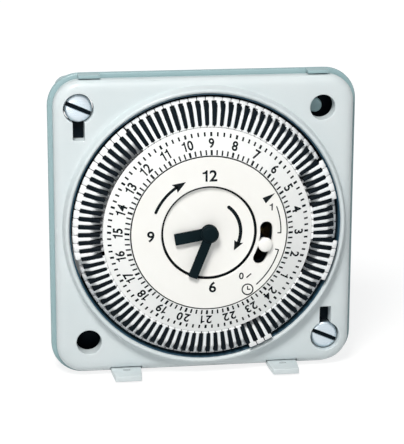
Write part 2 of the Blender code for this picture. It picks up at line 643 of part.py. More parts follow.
def tappet(shape, angle, rock):
    """One rocking finger, added to a bmesh: a side profile with a crown and a belly, widened to a head at its outer end."""
    bottom = TAPPET_TOP - TAPPET_THICK
    head = TAPPET_OUTER - TAPPET_HEAD_LENGTH
    narrow = TAPPET_WIDTH / 2
    wide = TAPPET_PITCH * (PIVOT_RADIUS + head) / 2 - TAPPET_HEAD_PLAY / 2
    crown = TAPPET_TOP + TAPPET_CROWN
    shoulder = TAPPET_OUTER_TOP + (crown - TAPPET_OUTER_TOP) * TAPPET_HEAD_LENGTH / TAPPET_OUTER
    profile = [
        (-TAPPET_INNER, TAPPET_TOP, narrow), (0.0, crown, narrow), (head, shoulder, narrow),
        (TAPPET_OUTER, TAPPET_OUTER_TOP, wide), (TAPPET_OUTER, bottom, wide), (head, bottom, narrow),
        (0.0, bottom - TAPPET_BELLY, narrow), (-TAPPET_INNER, bottom, narrow),
    ]
    sides = ([], [])
    for u, v, half in profile:
        for side, points in zip((-1, 1), sides):
            points.append(shape.verts.new(tappet_point(angle, rock, u, v, side * half)))
    left, right = sides
    for i in range(len(profile)):
        shape.faces.new((left[i - 1], left[i], right[i], right[i - 1]))
    for points in sides:
        bmesh.ops.triangulate(shape, faces=[shape.faces.new(points)])


def tappet_angle(index):
    return DIAL_TURN + (HOUR_AT_TOP / HOURS) * math.tau - index * TAPPET_PITCH


def tappet_groups():
    """Runs of neighbouring tappets in the same position, as (first, count, on)."""
    on = {index for run in SWITCHED_ON for index in run}
    changes = [i for i in range(TAPPET_COUNT) if (i in on) != ((i - 1) % TAPPET_COUNT in on)]
    groups = []
    for start, end in zip(changes, changes[1:] + [changes[0] + TAPPET_COUNT]):
        parts = math.ceil((end - start) / TAPPETS_IN_GROUP)
        cuts = [start + (end - start) * i // parts for i in range(parts + 1)]
        groups += [(first, last - first, start in on) for first, last in zip(cuts, cuts[1:])]
    return groups


def tappet_point(angle, rock, u, v, side=0.0):
    """The point of a tappet u outward and v forward of its pivot before it rocks, and a little to one side."""
    outward = Vector((math.sin(angle), 0.0, math.cos(angle)))
    along = Vector((math.cos(angle), 0.0, -math.sin(angle)))
    radius = PIVOT_RADIUS + u * math.cos(rock) + v * math.sin(rock)
    level = PIVOT_LEVEL + v * math.cos(rock) - u * math.sin(rock)
    return outward * radius + Vector((0.0, -level, 0.0)) + along * side


def web(angles, rock):
    """The thin bar under a group's fingers that its hinge runs along: a square section swept past each of them."""
    shape = bmesh.new()
    bottom = TAPPET_TOP - TAPPET_THICK
    section = (
        (-TAPPET_WEB, bottom + TAPPET_WEB), (TAPPET_WEB, bottom + TAPPET_WEB),
        (TAPPET_WEB, bottom - TAPPET_BELLY / 2), (-TAPPET_WEB, bottom - TAPPET_BELLY / 2),
    )
    rings = [[shape.verts.new(tappet_point(angle, rock, u, v)) for u, v in section] for angle in angles]
    for near, far in zip(rings, rings[1:]):
        for i in range(len(section)):
            shape.faces.new((near[i - 1], near[i], far[i], far[i - 1]))
    shape.faces.new(rings[0])
    shape.faces.new(rings[-1])
    return shape


def make_tappets():
    """The 96 tappets, in groups that rock together, each group's origin on its rocking axis."""
    for number, (first, count, on) in enumerate(tappet_groups(), 1):
        rock = TAPPET_OFF_ANGLE - (TAPPET_SWING if on else 0.0)
        angles = [tappet_angle(index) for index in range(first, first + count)]
        x, z = polar(PIVOT_RADIUS, (angles[0] + angles[-1]) / 2)
        name = f"tappets_{number:02d}"
        group = solid(name, web(angles, rock), PALE, 0.45, at=(x, -PIVOT_LEVEL, z), smooth=False)
        shape = bmesh.new()
        for angle in angles:
            tappet(shape, angle, rock)
        combine(group, helper(f"{name}_fingers", shape), "UNION")


def make_movement_plate():
    """The plate behind the dial, with the boss that the dial turns on and the neck that carries the clock face."""
    half = HOUSING_HALF
    rim = BOSS_RADIUS - BOSS_WALL
    drive_x, drive_z = polar(DRIVE_DISTANCE, DRIVE_BEARING)
    holes = [circle(BOSS_RADIUS - BOSS_WALL / 2, 28), circle(ARBOR_RADIUS + GAP, 16, drive_x, drive_z)]
    for bearing in PILLAR_BEARINGS:
        holes.append(circle(BRIDGE_SCREW_RADIUS, 12, *polar(PILLAR_CIRCLE, bearing)))
    holes.append(circle(FOLLOWER_PIN_RADIUS + 2 * GAP, 16, FOLLOWER_PIN_X, FOLLOWER_PIN_Z))
    plate = solid(
        "movement_plate", prism(octagon(half, HOUSING_CHAMFER), holes, MOVEMENT_BACK, MOVEMENT_FRONT), GREY, 0.5
    )
    top = DIAL_FACE - CENTRE_DIAL_THICK - GAP
    floor = BOSS_FACE - BOSS_FLOOR
    end = MOVEMENT_BACK - GAP / 2
    boss = turned(
        [
            (NECK_BORE, floor), (NECK_BORE, DISC_BACK - GAP), (NECK_RADIUS, DISC_BACK - GAP),
            (NECK_RADIUS, BOSS_FACE), (rim, BOSS_FACE), (rim, top), (BOSS_RADIUS, top),
            (BOSS_RADIUS, end), (rim, end), (rim, floor),
        ],
        36,
    )
    combine(plate, helper("movement_boss", boss), "UNION")
    slot = arc_slot(OVERRIDE_RADIUS, OVERRIDE_SLOT_HALF, OVERRIDE_START, OVERRIDE_END)
    combine(plate, helper("boss_slot", prism(slot, [], floor - GAP, BOSS_FACE + GAP)), "DIFFERENCE")


def make_clock_face():
    """The fixed centre dial with the override's slot, and the recessed disc behind the hands."""
    slot = arc_slot(OVERRIDE_RADIUS, OVERRIDE_SLOT_HALF, OVERRIDE_START, OVERRIDE_END)
    face = prism(
        circle(CENTRE_DIAL_RADIUS, 60), [circle(DISC_RADIUS + GAP, 36), slot], DIAL_FACE - CENTRE_DIAL_THICK, DIAL_FACE
    )
    solid("centre_dial", face, PALE, 0.45)
    disc = prism(circle(DISC_RADIUS, 36), [circle(NECK_BORE, 16)], DISC_BACK, DISC_FACE)
    solid("centre_disc", disc, PALE, 0.4)


def make_override():
    """The lever that forces the switch on or off, with its knob in the centre dial's slot."""
    ring = NECK_RADIUS + GAP
    outer = ring + OVERRIDE_RING
    post = OVERRIDE_SLOT_HALF - GAP
    spread = math.asin(post / outer)
    x, z = polar(OVERRIDE_RADIUS, OVERRIDE_ANGLE)
    outline = arc(outer, OVERRIDE_ANGLE + spread, OVERRIDE_ANGLE + math.tau - spread, 18)
    outline += arc(post, OVERRIDE_ANGLE - math.pi / 2, OVERRIDE_ANGLE + math.pi / 2, 8, x, z)
    lever = solid(
        "override_lever", prism(outline, [circle(ring, 18)], LEVER_BACK, LEVER_FRONT), WHITE, 0.4
    )
    top = DIAL_FACE + GAP + KNOB_HEIGHT
    bevel = KNOB_HEIGHT / 3
    middle = (LEVER_BACK + LEVER_FRONT) / 2
    knob = turned(
        [
            (0.0, top), (KNOB_RADIUS - bevel, top), (KNOB_RADIUS, top - bevel), (KNOB_RADIUS, DIAL_FACE + GAP),
            (post * 0.95, DIAL_FACE + GAP), (post * 0.95, middle), (0.0, middle),
        ],
        16, x, z,
    )
    combine(lever, helper("override_knob", knob), "UNION")
    low = BOSS_FACE - BOSS_FLOOR - OVERRIDE_PIN_LENGTH
    pin = turned([(0.0, middle), (post * 0.8, middle), (post * 0.8, low), (0.0, low)], 10, x, z)
    combine(lever, helper("override_pin", pin), "UNION")


def hand_outline(length, width, angle):
    """A straight square-ended hand with a round hub on the dial's axis."""
    half = width / 2
    spread = math.asin(half / HUB_RADIUS)
    sideways = angle + math.pi / 2
    end = polar(length, angle)
    corners = [polar(-half, sideways, *end), polar(half, sideways, *end)]
    return arc(HUB_RADIUS, angle + spread, angle + math.tau - spread, 20) + corners


def make_hands():
    """The short hand on the hour pipe and the long hand, with its hub cap, on the minute arbor."""
    hole = circle(PIPE_BORE, 16)
    hour = prism(
        hand_outline(HOUR_HAND_LENGTH, HOUR_HAND_WIDTH, HOUR_HAND_ANGLE), [hole], HOUR_HAND_BACK, HOUR_HAND_FRONT
    )
    solid("hour_hand", hour, BLACK, 0.4, smooth=False)
    front = MINUTE_HAND_BACK + HAND_THICK
    outline = hand_outline(MINUTE_HAND_LENGTH, MINUTE_HAND_WIDTH, MINUTE_HAND_ANGLE)
    minute = solid("minute_hand", prism(outline, [], MINUTE_HAND_BACK, front), BLACK, 0.4, smooth=False)
    radius = HUB_RADIUS * 0.9
    middle = MINUTE_HAND_BACK + HAND_THICK / 2
    cap = turned([(0.0, front + HUB_CAP), (radius * 0.8, front + HUB_CAP), (radius, middle), (0.0, middle)], 20)
    combine(minute, helper("hub_cap", cap), "UNION")


def wheel_pair(name, wheels, shaft, colour, metallic, x=0.0, z=0.0):
    """Gears on one shaft: each gear is (teeth, pitch radius, phase, level, width), the shaft a turned profile."""
    made = solid(name, turned(shaft, 12, x, z), colour, 0.4, metallic, at=(x, 0.0, z))
    for number, (teeth, radius, phase, level, width) in enumerate(wheels):
        outline = gear(teeth, radius, phase, x, z)
        bore = circle((shaft[0][0] + shaft[1][0]) / 2, 12, x, z)
        combine(made, helper(f"{name}_gear_{number}", prism(outline, [bore], level, level + width)), "UNION")
    return made


def rod(radius, low, high, bore=0.0):
    """A shaft's profile, given inner edge first: hollow where it has a bore."""
    return [(bore, high), (radius, high), (radius, low), (bore, low)]


def make_train():
    """The wheels from the motor's pinion to the minute arbor, the hour pipe and the dial."""
    motion = MOTION_DISTANCE
    cannon_radius = motion * CANNON_TEETH / (CANNON_TEETH + MOTION_WHEEL_TEETH)
    hour_radius = motion * HOUR_WHEEL_TEETH / (HOUR_WHEEL_TEETH + MOTION_PINION_TEETH)
    minute_radius = MOTOR_DISTANCE * MINUTE_WHEEL_TEETH / (MINUTE_WHEEL_TEETH + MOTOR_PINION_TEETH)
    drive_total = HOUR_DRIVE_TEETH + DRIVE_WHEEL_TEETH
    hour_drive_radius = DRIVE_DISTANCE * HOUR_DRIVE_TEETH / drive_total
    wide = WHEEL_THICK + GAP
    wheel_pair(
        "minute_arbor",
        [
            (CANNON_TEETH, cannon_radius, MOTION_BEARING, MOTION_LEVEL - GAP / 2, wide),
            (MINUTE_WHEEL_TEETH, minute_radius, MOTOR_BEARING, MINUTE_LEVEL, WHEEL_THICK),
        ],
        rod(ARBOR_RADIUS, BRIDGE_FRONT + GAP, MINUTE_HAND_BACK - GAP), BRASS, 1.0,
    )
    wheel_pair(
        "hour_wheel",
        [
            (HOUR_WHEEL_TEETH, hour_radius, MOTION_BEARING, HOUR_WHEEL_LEVEL, WHEEL_THICK),
            (HOUR_DRIVE_TEETH, hour_drive_radius, DRIVE_BEARING, HOUR_DRIVE_LEVEL, WHEEL_THICK),
        ],
        rod(PIPE_RADIUS, HOUR_WHEEL_LEVEL - GAP, HOUR_HAND_BACK - GAP, PIPE_BORE), WHITE, 0.0,
    )
    x, z = polar(motion, MOTION_BEARING)
    wheel_pair(
        "motion_wheel",
        [
            (MOTION_PINION_TEETH, motion - hour_radius, meshing_phase(MOTION_PINION_TEETH, MOTION_BEARING),
             HOUR_WHEEL_LEVEL - GAP / 2, wide),
            (MOTION_WHEEL_TEETH, motion - cannon_radius, meshing_phase(MOTION_WHEEL_TEETH, MOTION_BEARING),
             MOTION_LEVEL, WHEEL_THICK),
        ],
        rod(ARBOR_RADIUS, BRIDGE_FRONT + GAP, HOUR_WHEEL_LEVEL + WHEEL_THICK + GAP), WHITE, 0.0, x, z,
    )
    x, z = polar(DRIVE_DISTANCE, DRIVE_BEARING)
    wheel_pair(
        "dial_drive_wheel",
        [
            (DRIVE_PINION_TEETH, DRIVE_DISTANCE - DIAL_GEAR_RADIUS,
             meshing_phase(DRIVE_PINION_TEETH, DRIVE_BEARING), GEAR_BACK, DIAL_GEAR_WIDTH),
            (DRIVE_WHEEL_TEETH, DRIVE_DISTANCE - hour_drive_radius,
             meshing_phase(DRIVE_WHEEL_TEETH, DRIVE_BEARING), HOUR_DRIVE_LEVEL, WHEEL_THICK),
        ],
        rod(ARBOR_RADIUS, BRIDGE_FRONT + GAP, GEAR_FRONT), WHITE, 0.0, x, z,
    )
    x, z = polar(MOTOR_DISTANCE, MOTOR_BEARING)
    wheel_pair(
        "motor_pinion",
        [(MOTOR_PINION_TEETH, MOTOR_DISTANCE - minute_radius, meshing_phase(MOTOR_PINION_TEETH, MOTOR_BEARING),
          MINUTE_LEVEL - GAP, WHEEL_THICK + 2 * GAP)],
        rod(ARBOR_RADIUS, BRIDGE_BACK - MOTOR_WALL - 2 * GAP, MINUTE_LEVEL + WHEEL_THICK + GAP), BRASS, 1.0, x, z,
    )


def make_bridge():
    """The rear bridge of the movement with its four moulded pillars, and the screws that run up through them."""
    x, z = polar(MOTOR_DISTANCE, MOTOR_BEARING)
    half = HOUSING_HALF - HOUSING_WALL - GAP
    bore = BRIDGE_SCREW_RADIUS + GAP
    holes = [circle(ARBOR_RADIUS + GAP, 16, x, z)]
    for bearing in PILLAR_BEARINGS:
        holes.append(circle((bore + PILLAR_RADIUS) / 2, 10, *polar(PILLAR_CIRCLE, bearing)))
    plate = prism(octagon(half, HOUSING_CHAMFER), holes, BRIDGE_BACK, BRIDGE_FRONT)
    bridge = solid("movement_bridge", plate, GREY, 0.5)
    high = MOVEMENT_BACK - GAP
    middle = (BRIDGE_BACK + BRIDGE_FRONT) / 2
    seat = BRIDGE_BACK - GAP
    end = seat - BRIDGE_SCREW_RADIUS
    tip = high - GAP
    profile = [
        (0.0, tip), (BRIDGE_SCREW_RADIUS, tip), (BRIDGE_SCREW_RADIUS, seat),
        (BRIDGE_SCREW_HEAD, seat), (BRIDGE_SCREW_HEAD, end), (0.0, end),
    ]
    for number, bearing in enumerate(PILLAR_BEARINGS, 1):
        x, z = polar(PILLAR_CIRCLE, bearing)
        pillar = turned(rod(PILLAR_RADIUS, middle, high, bore), 16, x, z)
        combine(bridge, helper(f"pillar_{number}", pillar), "UNION")
        solid(f"bridge_screw_{number}", turned(profile, 12, x, z), ZINC, 0.35, 1.0, at=(x, 0.0, z))


def make_motor():
    """The synchronous geared motor behind the bridge: its steel can, closed but for the shaft, and its coil."""
    x, z = polar(MOTOR_DISTANCE, MOTOR_BEARING)
    front = BRIDGE_BACK - GAP
    back = front - MOTOR_LENGTH
    inner = MOTOR_RADIUS - MOTOR_WALL
    hole = ARBOR_RADIUS + GAP
    can = [
        (hole, front), (MOTOR_RADIUS, front), (MOTOR_RADIUS, back), (hole, back),
        (hole, back + MOTOR_WALL), (inner, back + MOTOR_WALL), (inner, front - MOTOR_WALL), (hole, front - MOTOR_WALL),
    ]
    solid("motor_can", turned(can, 24, x, z), ZINC, 0.4, 1.0)
    low = back + MOTOR_WALL + 2 * GAP
    high = front - MOTOR_WALL - 2 * GAP
    coil = [(COIL_BORE, high), (COIL_RADIUS, high), (COIL_RADIUS, low), (COIL_BORE, low)]
    solid("motor_coil", turned(coil, 20, x, z), (0.35, 0.12, 0.05), 0.5)


def make_switch():
    """The sprung follower under the tappets' heads, the moving contact blade and the two fixed contacts."""
    head_bottom = TAPPET_TOP - TAPPET_THICK
    rest = PIVOT_LEVEL + head_bottom * math.cos(TAPPET_OFF_ANGLE) - TAPPET_OUTER * math.sin(TAPPET_OFF_ANGLE)
    nose = rest - GAP
    low = MOVEMENT_FRONT + GAP
    top = low + FOLLOWER_THICK
    root = FOLLOWER_PIVOT_Z - FOLLOWER_THICK
    side = [
        (root, low), (FOLLOWER_NOSE, low), (FOLLOWER_NOSE, nose), (-FOLLOWER_NOSE, nose),
        (-2 * FOLLOWER_NOSE, top), (root, top),
    ]
    half = FOLLOWER_WIDTH / 2
    lever = prism(side, [], FOLLOWER_X - half, FOLLOWER_X + half, along="X")
    pivot = (FOLLOWER_X, -(low + FOLLOWER_THICK / 2), FOLLOWER_PIVOT_Z)
    follower = solid("follower_lever", lever, BLACK, 0.5, at=pivot, smooth=False)
    half = FOLLOWER_PIN_RADIUS + GAP
    end = FOLLOWER_PIN_X - SWITCH_SIDE * half
    arm = rectangle(end, FOLLOWER_PIN_Z - half, FOLLOWER_X, FOLLOWER_PIN_Z + half)
    combine(follower, helper("follower_arm", prism(arm, [], low + GAP / 3, top - GAP / 3)), "UNION")
    blade_front = MOVEMENT_BACK - CONTACT_OPENING - 2 * CONTACT_HEIGHT - BLADE_THICK
    pin = turned(rod(FOLLOWER_PIN_RADIUS, blade_front + GAP, low + GAP), 12, FOLLOWER_PIN_X, FOLLOWER_PIN_Z)
    combine(follower, helper("follower_pin", pin), "UNION")
    make_contacts(blade_front)


def make_contacts(front):
    """The blade with its contact button, between the make and break contacts, and the block that grips them."""
    half = BLADE_WIDTH / 2
    back = front - BLADE_THICK
    blade_x = FOLLOWER_PIN_X - SWITCH_SIDE * (half - FOLLOWER_PIN_RADIUS)
    strip = rectangle(blade_x - half, BLADE_ROOT_Z, blade_x + half, BLADE_TIP_Z)
    blade = solid("contact_blade", prism(strip, [], back, front), BRASS, 0.35, 1.0, at=(blade_x, -front, BLADE_ROOT_Z))
    contact_z = BLADE_TIP_Z - 2 * CONTACT_RADIUS
    button = turned(
        rod(CONTACT_RADIUS, back - CONTACT_HEIGHT, front + CONTACT_HEIGHT), 12, blade_x, contact_z
    )
    combine(blade, helper("blade_button", button), "UNION")
    far = contact_z + CONTACT_STRIP_LENGTH
    break_front = back - CONTACT_HEIGHT - GAP
    make_front = front + CONTACT_HEIGHT + CONTACT_OPENING
    for name, low in (("break", break_front - CONTACT_HEIGHT), ("make", make_front)):
        outline = rectangle(blade_x - half, contact_z - CONTACT_RADIUS, blade_x + half, far)
        solid(
            f"{name}_contact", prism(outline, [], low, low + CONTACT_HEIGHT), SILVER, 0.3, 1.0, smooth=False
        )
    end = BLADE_ROOT_Z - GAP
    start = far + GAP
    for name, low, high in (("blade_block", end - BLOCK_LENGTH, end), ("contact_block", start, start + BLOCK_LENGTH)):
        block = rectangle(blade_x - SWITCH_SIDE * 2 * half, low, blade_x + SWITCH_SIDE * half, high)
        solid(name, prism(block, [], BRIDGE_FRONT + GAP, MOVEMENT_BACK - GAP), BLACK, 0.5, smooth=False)


def octagon_shell(sections):
    """A tube of eight-sided rings, each (half side, chamfer, level), joined in turn and closed on the first."""
    shape = bmesh.new()
    rings = [
        [shape.verts.new((x, -level, z)) for x, z in octagon(half, chamfer)] for half, chamfer, level in sections
    ]
    for near, far in zip(rings, rings[1:] + rings[:1]):
        for i in range(len(near)):
            shape.faces.new((near[i - 1], near[i], far[i], far[i - 1]))
    return shape


def make_housing():
    """The eight-sided housing behind the panel, stepped in behind the bridge, its rear cover and the push-on terminals."""
    thin = HOUSING_WALL * math.tan(math.pi / 8)
    wide = (HOUSING_HALF, HOUSING_CHAMFER)
    narrow = (REAR_HALF, REAR_CHAMFER)
    inside_wide = (HOUSING_HALF - HOUSING_WALL, HOUSING_CHAMFER - thin)
    inside_narrow = (REAR_HALF - HOUSING_WALL, REAR_CHAMFER - thin)
    shell = octagon_shell(
        [
            (*wide, HOUSING_FRONT), (*wide, STEP_LEVEL - HOUSING_WALL), (*narrow, STEP_LEVEL - HOUSING_WALL),
            (*narrow, HOUSING_BACK), (*inside_narrow, HOUSING_BACK), (*inside_narrow, STEP_LEVEL),
            (*inside_wide, STEP_LEVEL), (*inside_wide, HOUSING_FRONT),
        ]
    )
    solid("rear_housing", shell, GREY, 0.5, smooth=False)
    tabs = (("motor_terminal", TAB_XS[:MOTOR_TAB_COUNT]), ("switch_terminal", TAB_XS[MOTOR_TAB_COUNT:]))
    half = TAB_WIDTH / 2
    thin = TAB_THICK / 2
    holes = []
    for name, places in tabs:
        for number, x in enumerate(places, 1):
            holes.append(rectangle(x - half - GAP, TAB_Z - thin - GAP, x + half + GAP, TAB_Z + thin + GAP))
            outline = rectangle(x - half, TAB_Z - thin, x + half, TAB_Z + thin)
            blade = prism(outline, [], COVER_BACK - TAB_LENGTH, COVER_FRONT + TAB_INSIDE)
            solid(f"{name}_{number}", blade, SILVER, 0.3, 1.0, at=(x, -COVER_BACK, TAB_Z), smooth=False)
    cover = prism(octagon(REAR_HALF, REAR_CHAMFER), holes, COVER_BACK, COVER_FRONT)
    solid("rear_cover", cover, GREY, 0.5, smooth=False)


def main():
    clear_scene()
    make_frame()
    make_front_plate()
    make_clamps()
    make_dial()
    make_tappets()
    make_movement_plate()
    make_clock_face()
    make_override()
    make_hands()
    make_train()
    make_bridge()
    make_motor()
    make_switch()
    make_housing()


main()
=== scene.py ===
"""Looks for the panel-mounted 24 hour time switch: its moulded front, tappet dial, clock face, rear case and stage.

Lengths inside the functions are millimetres until a mesh is made. X is to the right, Z is up, and "level" is the
distance in front of the panel, which is -Y. Angles on the dial are clock angles: 0 at the top, growing clockwise.
"""

import json
import math
from collections import namedtuple
from types import SimpleNamespace

import bmesh
import bpy
import numpy as np
from mathutils import Matrix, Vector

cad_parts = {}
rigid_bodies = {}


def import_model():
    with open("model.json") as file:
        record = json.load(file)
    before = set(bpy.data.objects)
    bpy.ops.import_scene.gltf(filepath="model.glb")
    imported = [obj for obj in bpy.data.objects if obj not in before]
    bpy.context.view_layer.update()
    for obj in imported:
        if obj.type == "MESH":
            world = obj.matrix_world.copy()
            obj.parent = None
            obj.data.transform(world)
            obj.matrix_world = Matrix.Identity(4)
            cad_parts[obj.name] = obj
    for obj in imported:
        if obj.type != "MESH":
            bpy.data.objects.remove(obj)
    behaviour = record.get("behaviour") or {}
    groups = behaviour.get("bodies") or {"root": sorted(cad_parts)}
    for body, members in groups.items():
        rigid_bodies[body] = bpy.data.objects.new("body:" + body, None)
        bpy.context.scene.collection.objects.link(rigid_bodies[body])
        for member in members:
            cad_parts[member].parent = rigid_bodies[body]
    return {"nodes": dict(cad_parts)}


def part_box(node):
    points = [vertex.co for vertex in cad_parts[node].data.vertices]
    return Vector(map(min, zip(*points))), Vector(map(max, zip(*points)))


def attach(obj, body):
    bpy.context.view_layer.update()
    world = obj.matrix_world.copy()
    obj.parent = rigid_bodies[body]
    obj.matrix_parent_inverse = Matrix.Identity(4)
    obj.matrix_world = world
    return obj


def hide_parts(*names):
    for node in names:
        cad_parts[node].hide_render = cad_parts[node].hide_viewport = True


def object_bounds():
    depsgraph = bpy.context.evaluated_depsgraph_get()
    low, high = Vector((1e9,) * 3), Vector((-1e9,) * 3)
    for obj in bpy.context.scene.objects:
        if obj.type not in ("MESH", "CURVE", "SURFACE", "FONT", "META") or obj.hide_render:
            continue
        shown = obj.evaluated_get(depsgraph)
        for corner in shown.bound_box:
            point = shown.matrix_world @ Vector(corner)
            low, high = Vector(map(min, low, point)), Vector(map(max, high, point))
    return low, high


for startup in list(bpy.data.objects):
    bpy.data.objects.remove(startup)
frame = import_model()
CAD_BOX = [[float(value) for value in corner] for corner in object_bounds()]

bl_info = {
    "name": "Day-dial time switch",
    "version": (1, 0, 0),
    "blender": (4, 5, 0),
    "location": "3D View > Sidebar > Time switch",
    "description": "Dresses the packed time switch with detailed pieces, procedural finishes and a studio stage",
    "category": "Object",
}

MM = 0.001
PHOTO_SIZE = (404, 444)
QUARTER, HALF_TURN = math.pi / 2, math.pi
SHARP, FINGER_SHARP = math.radians(34), math.radians(50)
WELD = 2e-7
HOURS, TAPPETS, TOP_HOUR = 24, 96, 9
HOUR_STEP, PITCH = math.tau / HOURS, math.tau / TAPPETS
DIAL_TURN = math.radians(1.4)
DIAL_START = DIAL_TURN + TOP_HOUR * HOUR_STEP
FRAME_SIDE = (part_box("mounting_frame")[1][0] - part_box("mounting_frame")[0][0]) / MM
SIDES = (-1, 1)


# ---------------------------------------------------------------- properties


def amount(name, description, default, **more):
    return bpy.props.FloatProperty(name=name, description=description, default=default, **more)


def length(name, description, default):
    """A length property in Blender's unit, with its default given in millimetres."""
    return amount(name, description, default * MM, min=0.0, unit="LENGTH", subtype="DISTANCE", precision=5)


def angle(name, description, degrees):
    return amount(name, description, math.radians(degrees), unit="ROTATION", subtype="ANGLE")


def colour(name, description, default):
    return bpy.props.FloatVectorProperty(
        name=name, description=description, default=default, size=3, min=0.0, max=1.0, subtype="COLOR"
    )


class FrontSizes(bpy.types.PropertyGroup):
    """Sizes of the frame, the front plate and its screws."""

    frame_side: length("Frame side", "Outer side of the square frame", FRAME_SIDE)
    frame_corner: length("Frame corner", "Radius of the frame's corners", 7.5)
    flange: length("Flange", "Thickness of the frame's flange", 3.0)
    plate_margin: length("Plate margin", "Frame left showing round the plate", 1.15)
    plate_back: length("Plate back", "Level of the plate's rear face", 3.3)
    plate_face: length("Plate face", "Level of the plate's front face", 7.0)
    plate_border: length("Plate border", "Width of the plate's rounded border", 2.4)
    plate_round: length("Plate rounding", "Depth of the plate's rounded border", 1.7)
    opening: length("Opening", "Radius of the round opening", 31.7)
    collar_top: length("Collar top", "Level of the collar's rim", 9.4)
    screw_x: length("Screw across", "Distance of the screws from the middle, sideways", 29.1)
    screw_z: length("Screw up", "Distance of the screws from the middle, up and down", 28.4)
    screw_head: length("Screw head", "Radius of a screw's head", 3.2)
    hole_offset: length("Hole offset", "Distance of the plain holes from the middle, both ways", 27.4)
    hole_radius: length("Hole radius", "Radius of the plain holes", 2.95)


class DialSizes(bpy.types.PropertyGroup):
    """Sizes of the turning dial, its tappets and the clock face."""

    ring_radius: length("Ring radius", "Outer radius of the numeral ring", 24.2)
    ring_edge: length("Ring edge", "Level of the numeral ring's outer edge", 11.55)
    ring_inner: length("Ring inner", "Inner radius of the numeral ring", 18.3)
    cone: angle("Cone", "Slope of the numeral ring", 20.5)
    numeral_height: length("Numeral height", "Height of the hour numbers", 2.2)
    numeral_radius: length("Numeral radius", "Radius of the middle of the hour numbers", 21.02)
    face_radius: length("Face radius", "Radius of the fixed centre dial", 18.0)
    disc_radius: length("Disc radius", "Radius of the recessed disc", 10.95)
    disc_recess: length("Disc recess", "Depth of the disc behind the centre dial", 1.1)
    pivot_radius: length("Pivot radius", "Radius of the tappets' pivots", 27.6309)
    pivot_level: length("Pivot level", "Level of the tappets' pivots", 9.42221)
    tappet_inner: length("Tappet inner", "Length of a tappet inside its pivot", 3.7)
    tappet_outer: length("Tappet outer", "Length of a tappet outside its pivot", 3.2)
    tappet_off: angle("Tappet off", "Tilt of a tappet that is off", 22)
    tappet_swing: angle("Tappet swing", "Turn of a tappet from off to on", 40)


class FinishColours(bpy.types.PropertyGroup):
    """Colours of the moulded, printed and metal finishes."""

    plate: colour("Front plate", "Moulded front plate", (0.66, 0.715, 0.73))
    frame: colour("Frame", "Moulded panel frame", (0.31, 0.44, 0.46))
    tappet: colour("Tappets", "Moulded tappets", (0.9, 0.92, 0.93))
    dial: colour("Dial", "Printed dial faces", (0.93, 0.925, 0.9))
    ring: colour("Numeral ring", "Printed numeral ring", (0.9, 0.905, 0.9))
    black: colour("Black", "Black mouldings", (0.004, 0.008, 0.012))
    # Painted shade: the dark blue of the ring that lines the opening stands in for the shade inside the collar's
    # wall.
    lining: colour("Lining", "Lining of the dial's opening", (0.03, 0.085, 0.13))
    ink: colour("Ink", "Printed marks", (0.004, 0.007, 0.009))
    hand: colour("Hands", "Painted hands", (0.004, 0.01, 0.013))
    rear: colour("Rear case", "Rear housing and cover", (0.2, 0.225, 0.24))
    zinc: colour("Zinc", "Zinc plated steel", (0.66, 0.71, 0.75))
    brass: colour("Brass", "Brass wheels and springs", (0.72, 0.5, 0.2))
    tin: colour("Tin", "Tinned tabs and contacts", (0.76, 0.76, 0.74))
    copper: colour("Copper", "Enamelled winding", (0.34, 0.1, 0.035))


class StageSettings(bpy.types.PropertyGroup):
    """Camera, lamps and floor."""

    yaw: angle("Yaw", "Camera's turn to the side", -8.4)
    tilt: angle("Tilt", "Camera's height above the front", 15.2)
    roll: angle("Roll", "Camera's turn about its own axis", 0.2)
    distance: length("Distance", "Camera's distance from its target", 420.6)
    lens_pixels: amount("Lens", "Focal length in pixels of the photograph", 1800.0, min=1.0)
    floor: colour("Floor", "Floor and backdrop", (0.765, 0.765, 0.765))
    key: amount("Key", "Power of the key lamp", 1.8, min=0.0, unit="POWER")
    fill: amount("Fill", "Power of the front lamp", 0.42, min=0.0, unit="POWER")
    sky: amount("Sky", "Strength of the even light", 0.2, min=0.0)


def in_mm(group):
    """A group's values by name, with its lengths in millimetres."""
    values = {}
    for name in group.__annotations__:
        value = getattr(group, name)
        values[name] = value / MM if group.bl_rna.properties[name].unit == "LENGTH" else value
    return SimpleNamespace(**values)


# ---------------------------------------------------------------- surfaces


def polar(radius, turn):
    """Points at a radius and clock angle round the dial's axis, as (x, z)."""
    return np.stack(np.broadcast_arrays(radius * np.sin(turn), radius * np.cos(turn)), axis=-1)


def spokes(radius, side, turn):
    """Points set along and across spokes of the dial: a copy for each clock angle given."""
    turn = np.reshape(turn, (-1,) + (1,) * np.ndim(radius))
    return polar(radius, turn) + polar(side, turn + QUARTER)


def place(flat, level):
    """Points of the front view, (x, z), set at a level in front of the panel."""
    flat = np.asarray(flat, float)
    level = np.broadcast_to(level, flat.shape[:-1])
    return np.stack([flat[..., 0], -level, flat[..., 1]], axis=-1)


def sheet(rows, columns, wrap_rows=False, wrap_columns=False):
    """The quads of a grid of points, row by row, joined round on itself where asked."""
    i, j = np.meshgrid(
        np.arange(rows if wrap_rows else rows - 1), np.arange(columns if wrap_columns else columns - 1), indexing="ij"
    )
    k, n = (i + 1) % rows, (j + 1) % columns
    quads = np.stack([i * columns + j, i * columns + n, k * columns + n, k * columns + j], axis=-1)
    return quads.reshape(-1, 4).tolist()


def tube(rows, columns):
    """The faces of a grid that is closed round its columns and has a flat face at each end."""
    ends = [list(range(columns)), list(range((rows - 1) * columns, rows * columns))]
    return sheet(rows, columns, False, True) + ends


def repeated(faces, size, count):
    """The faces of equal grids, of the number of points given, that follow one another."""
    return [[index + n * size for index in face] for n in range(count) for face in faces]


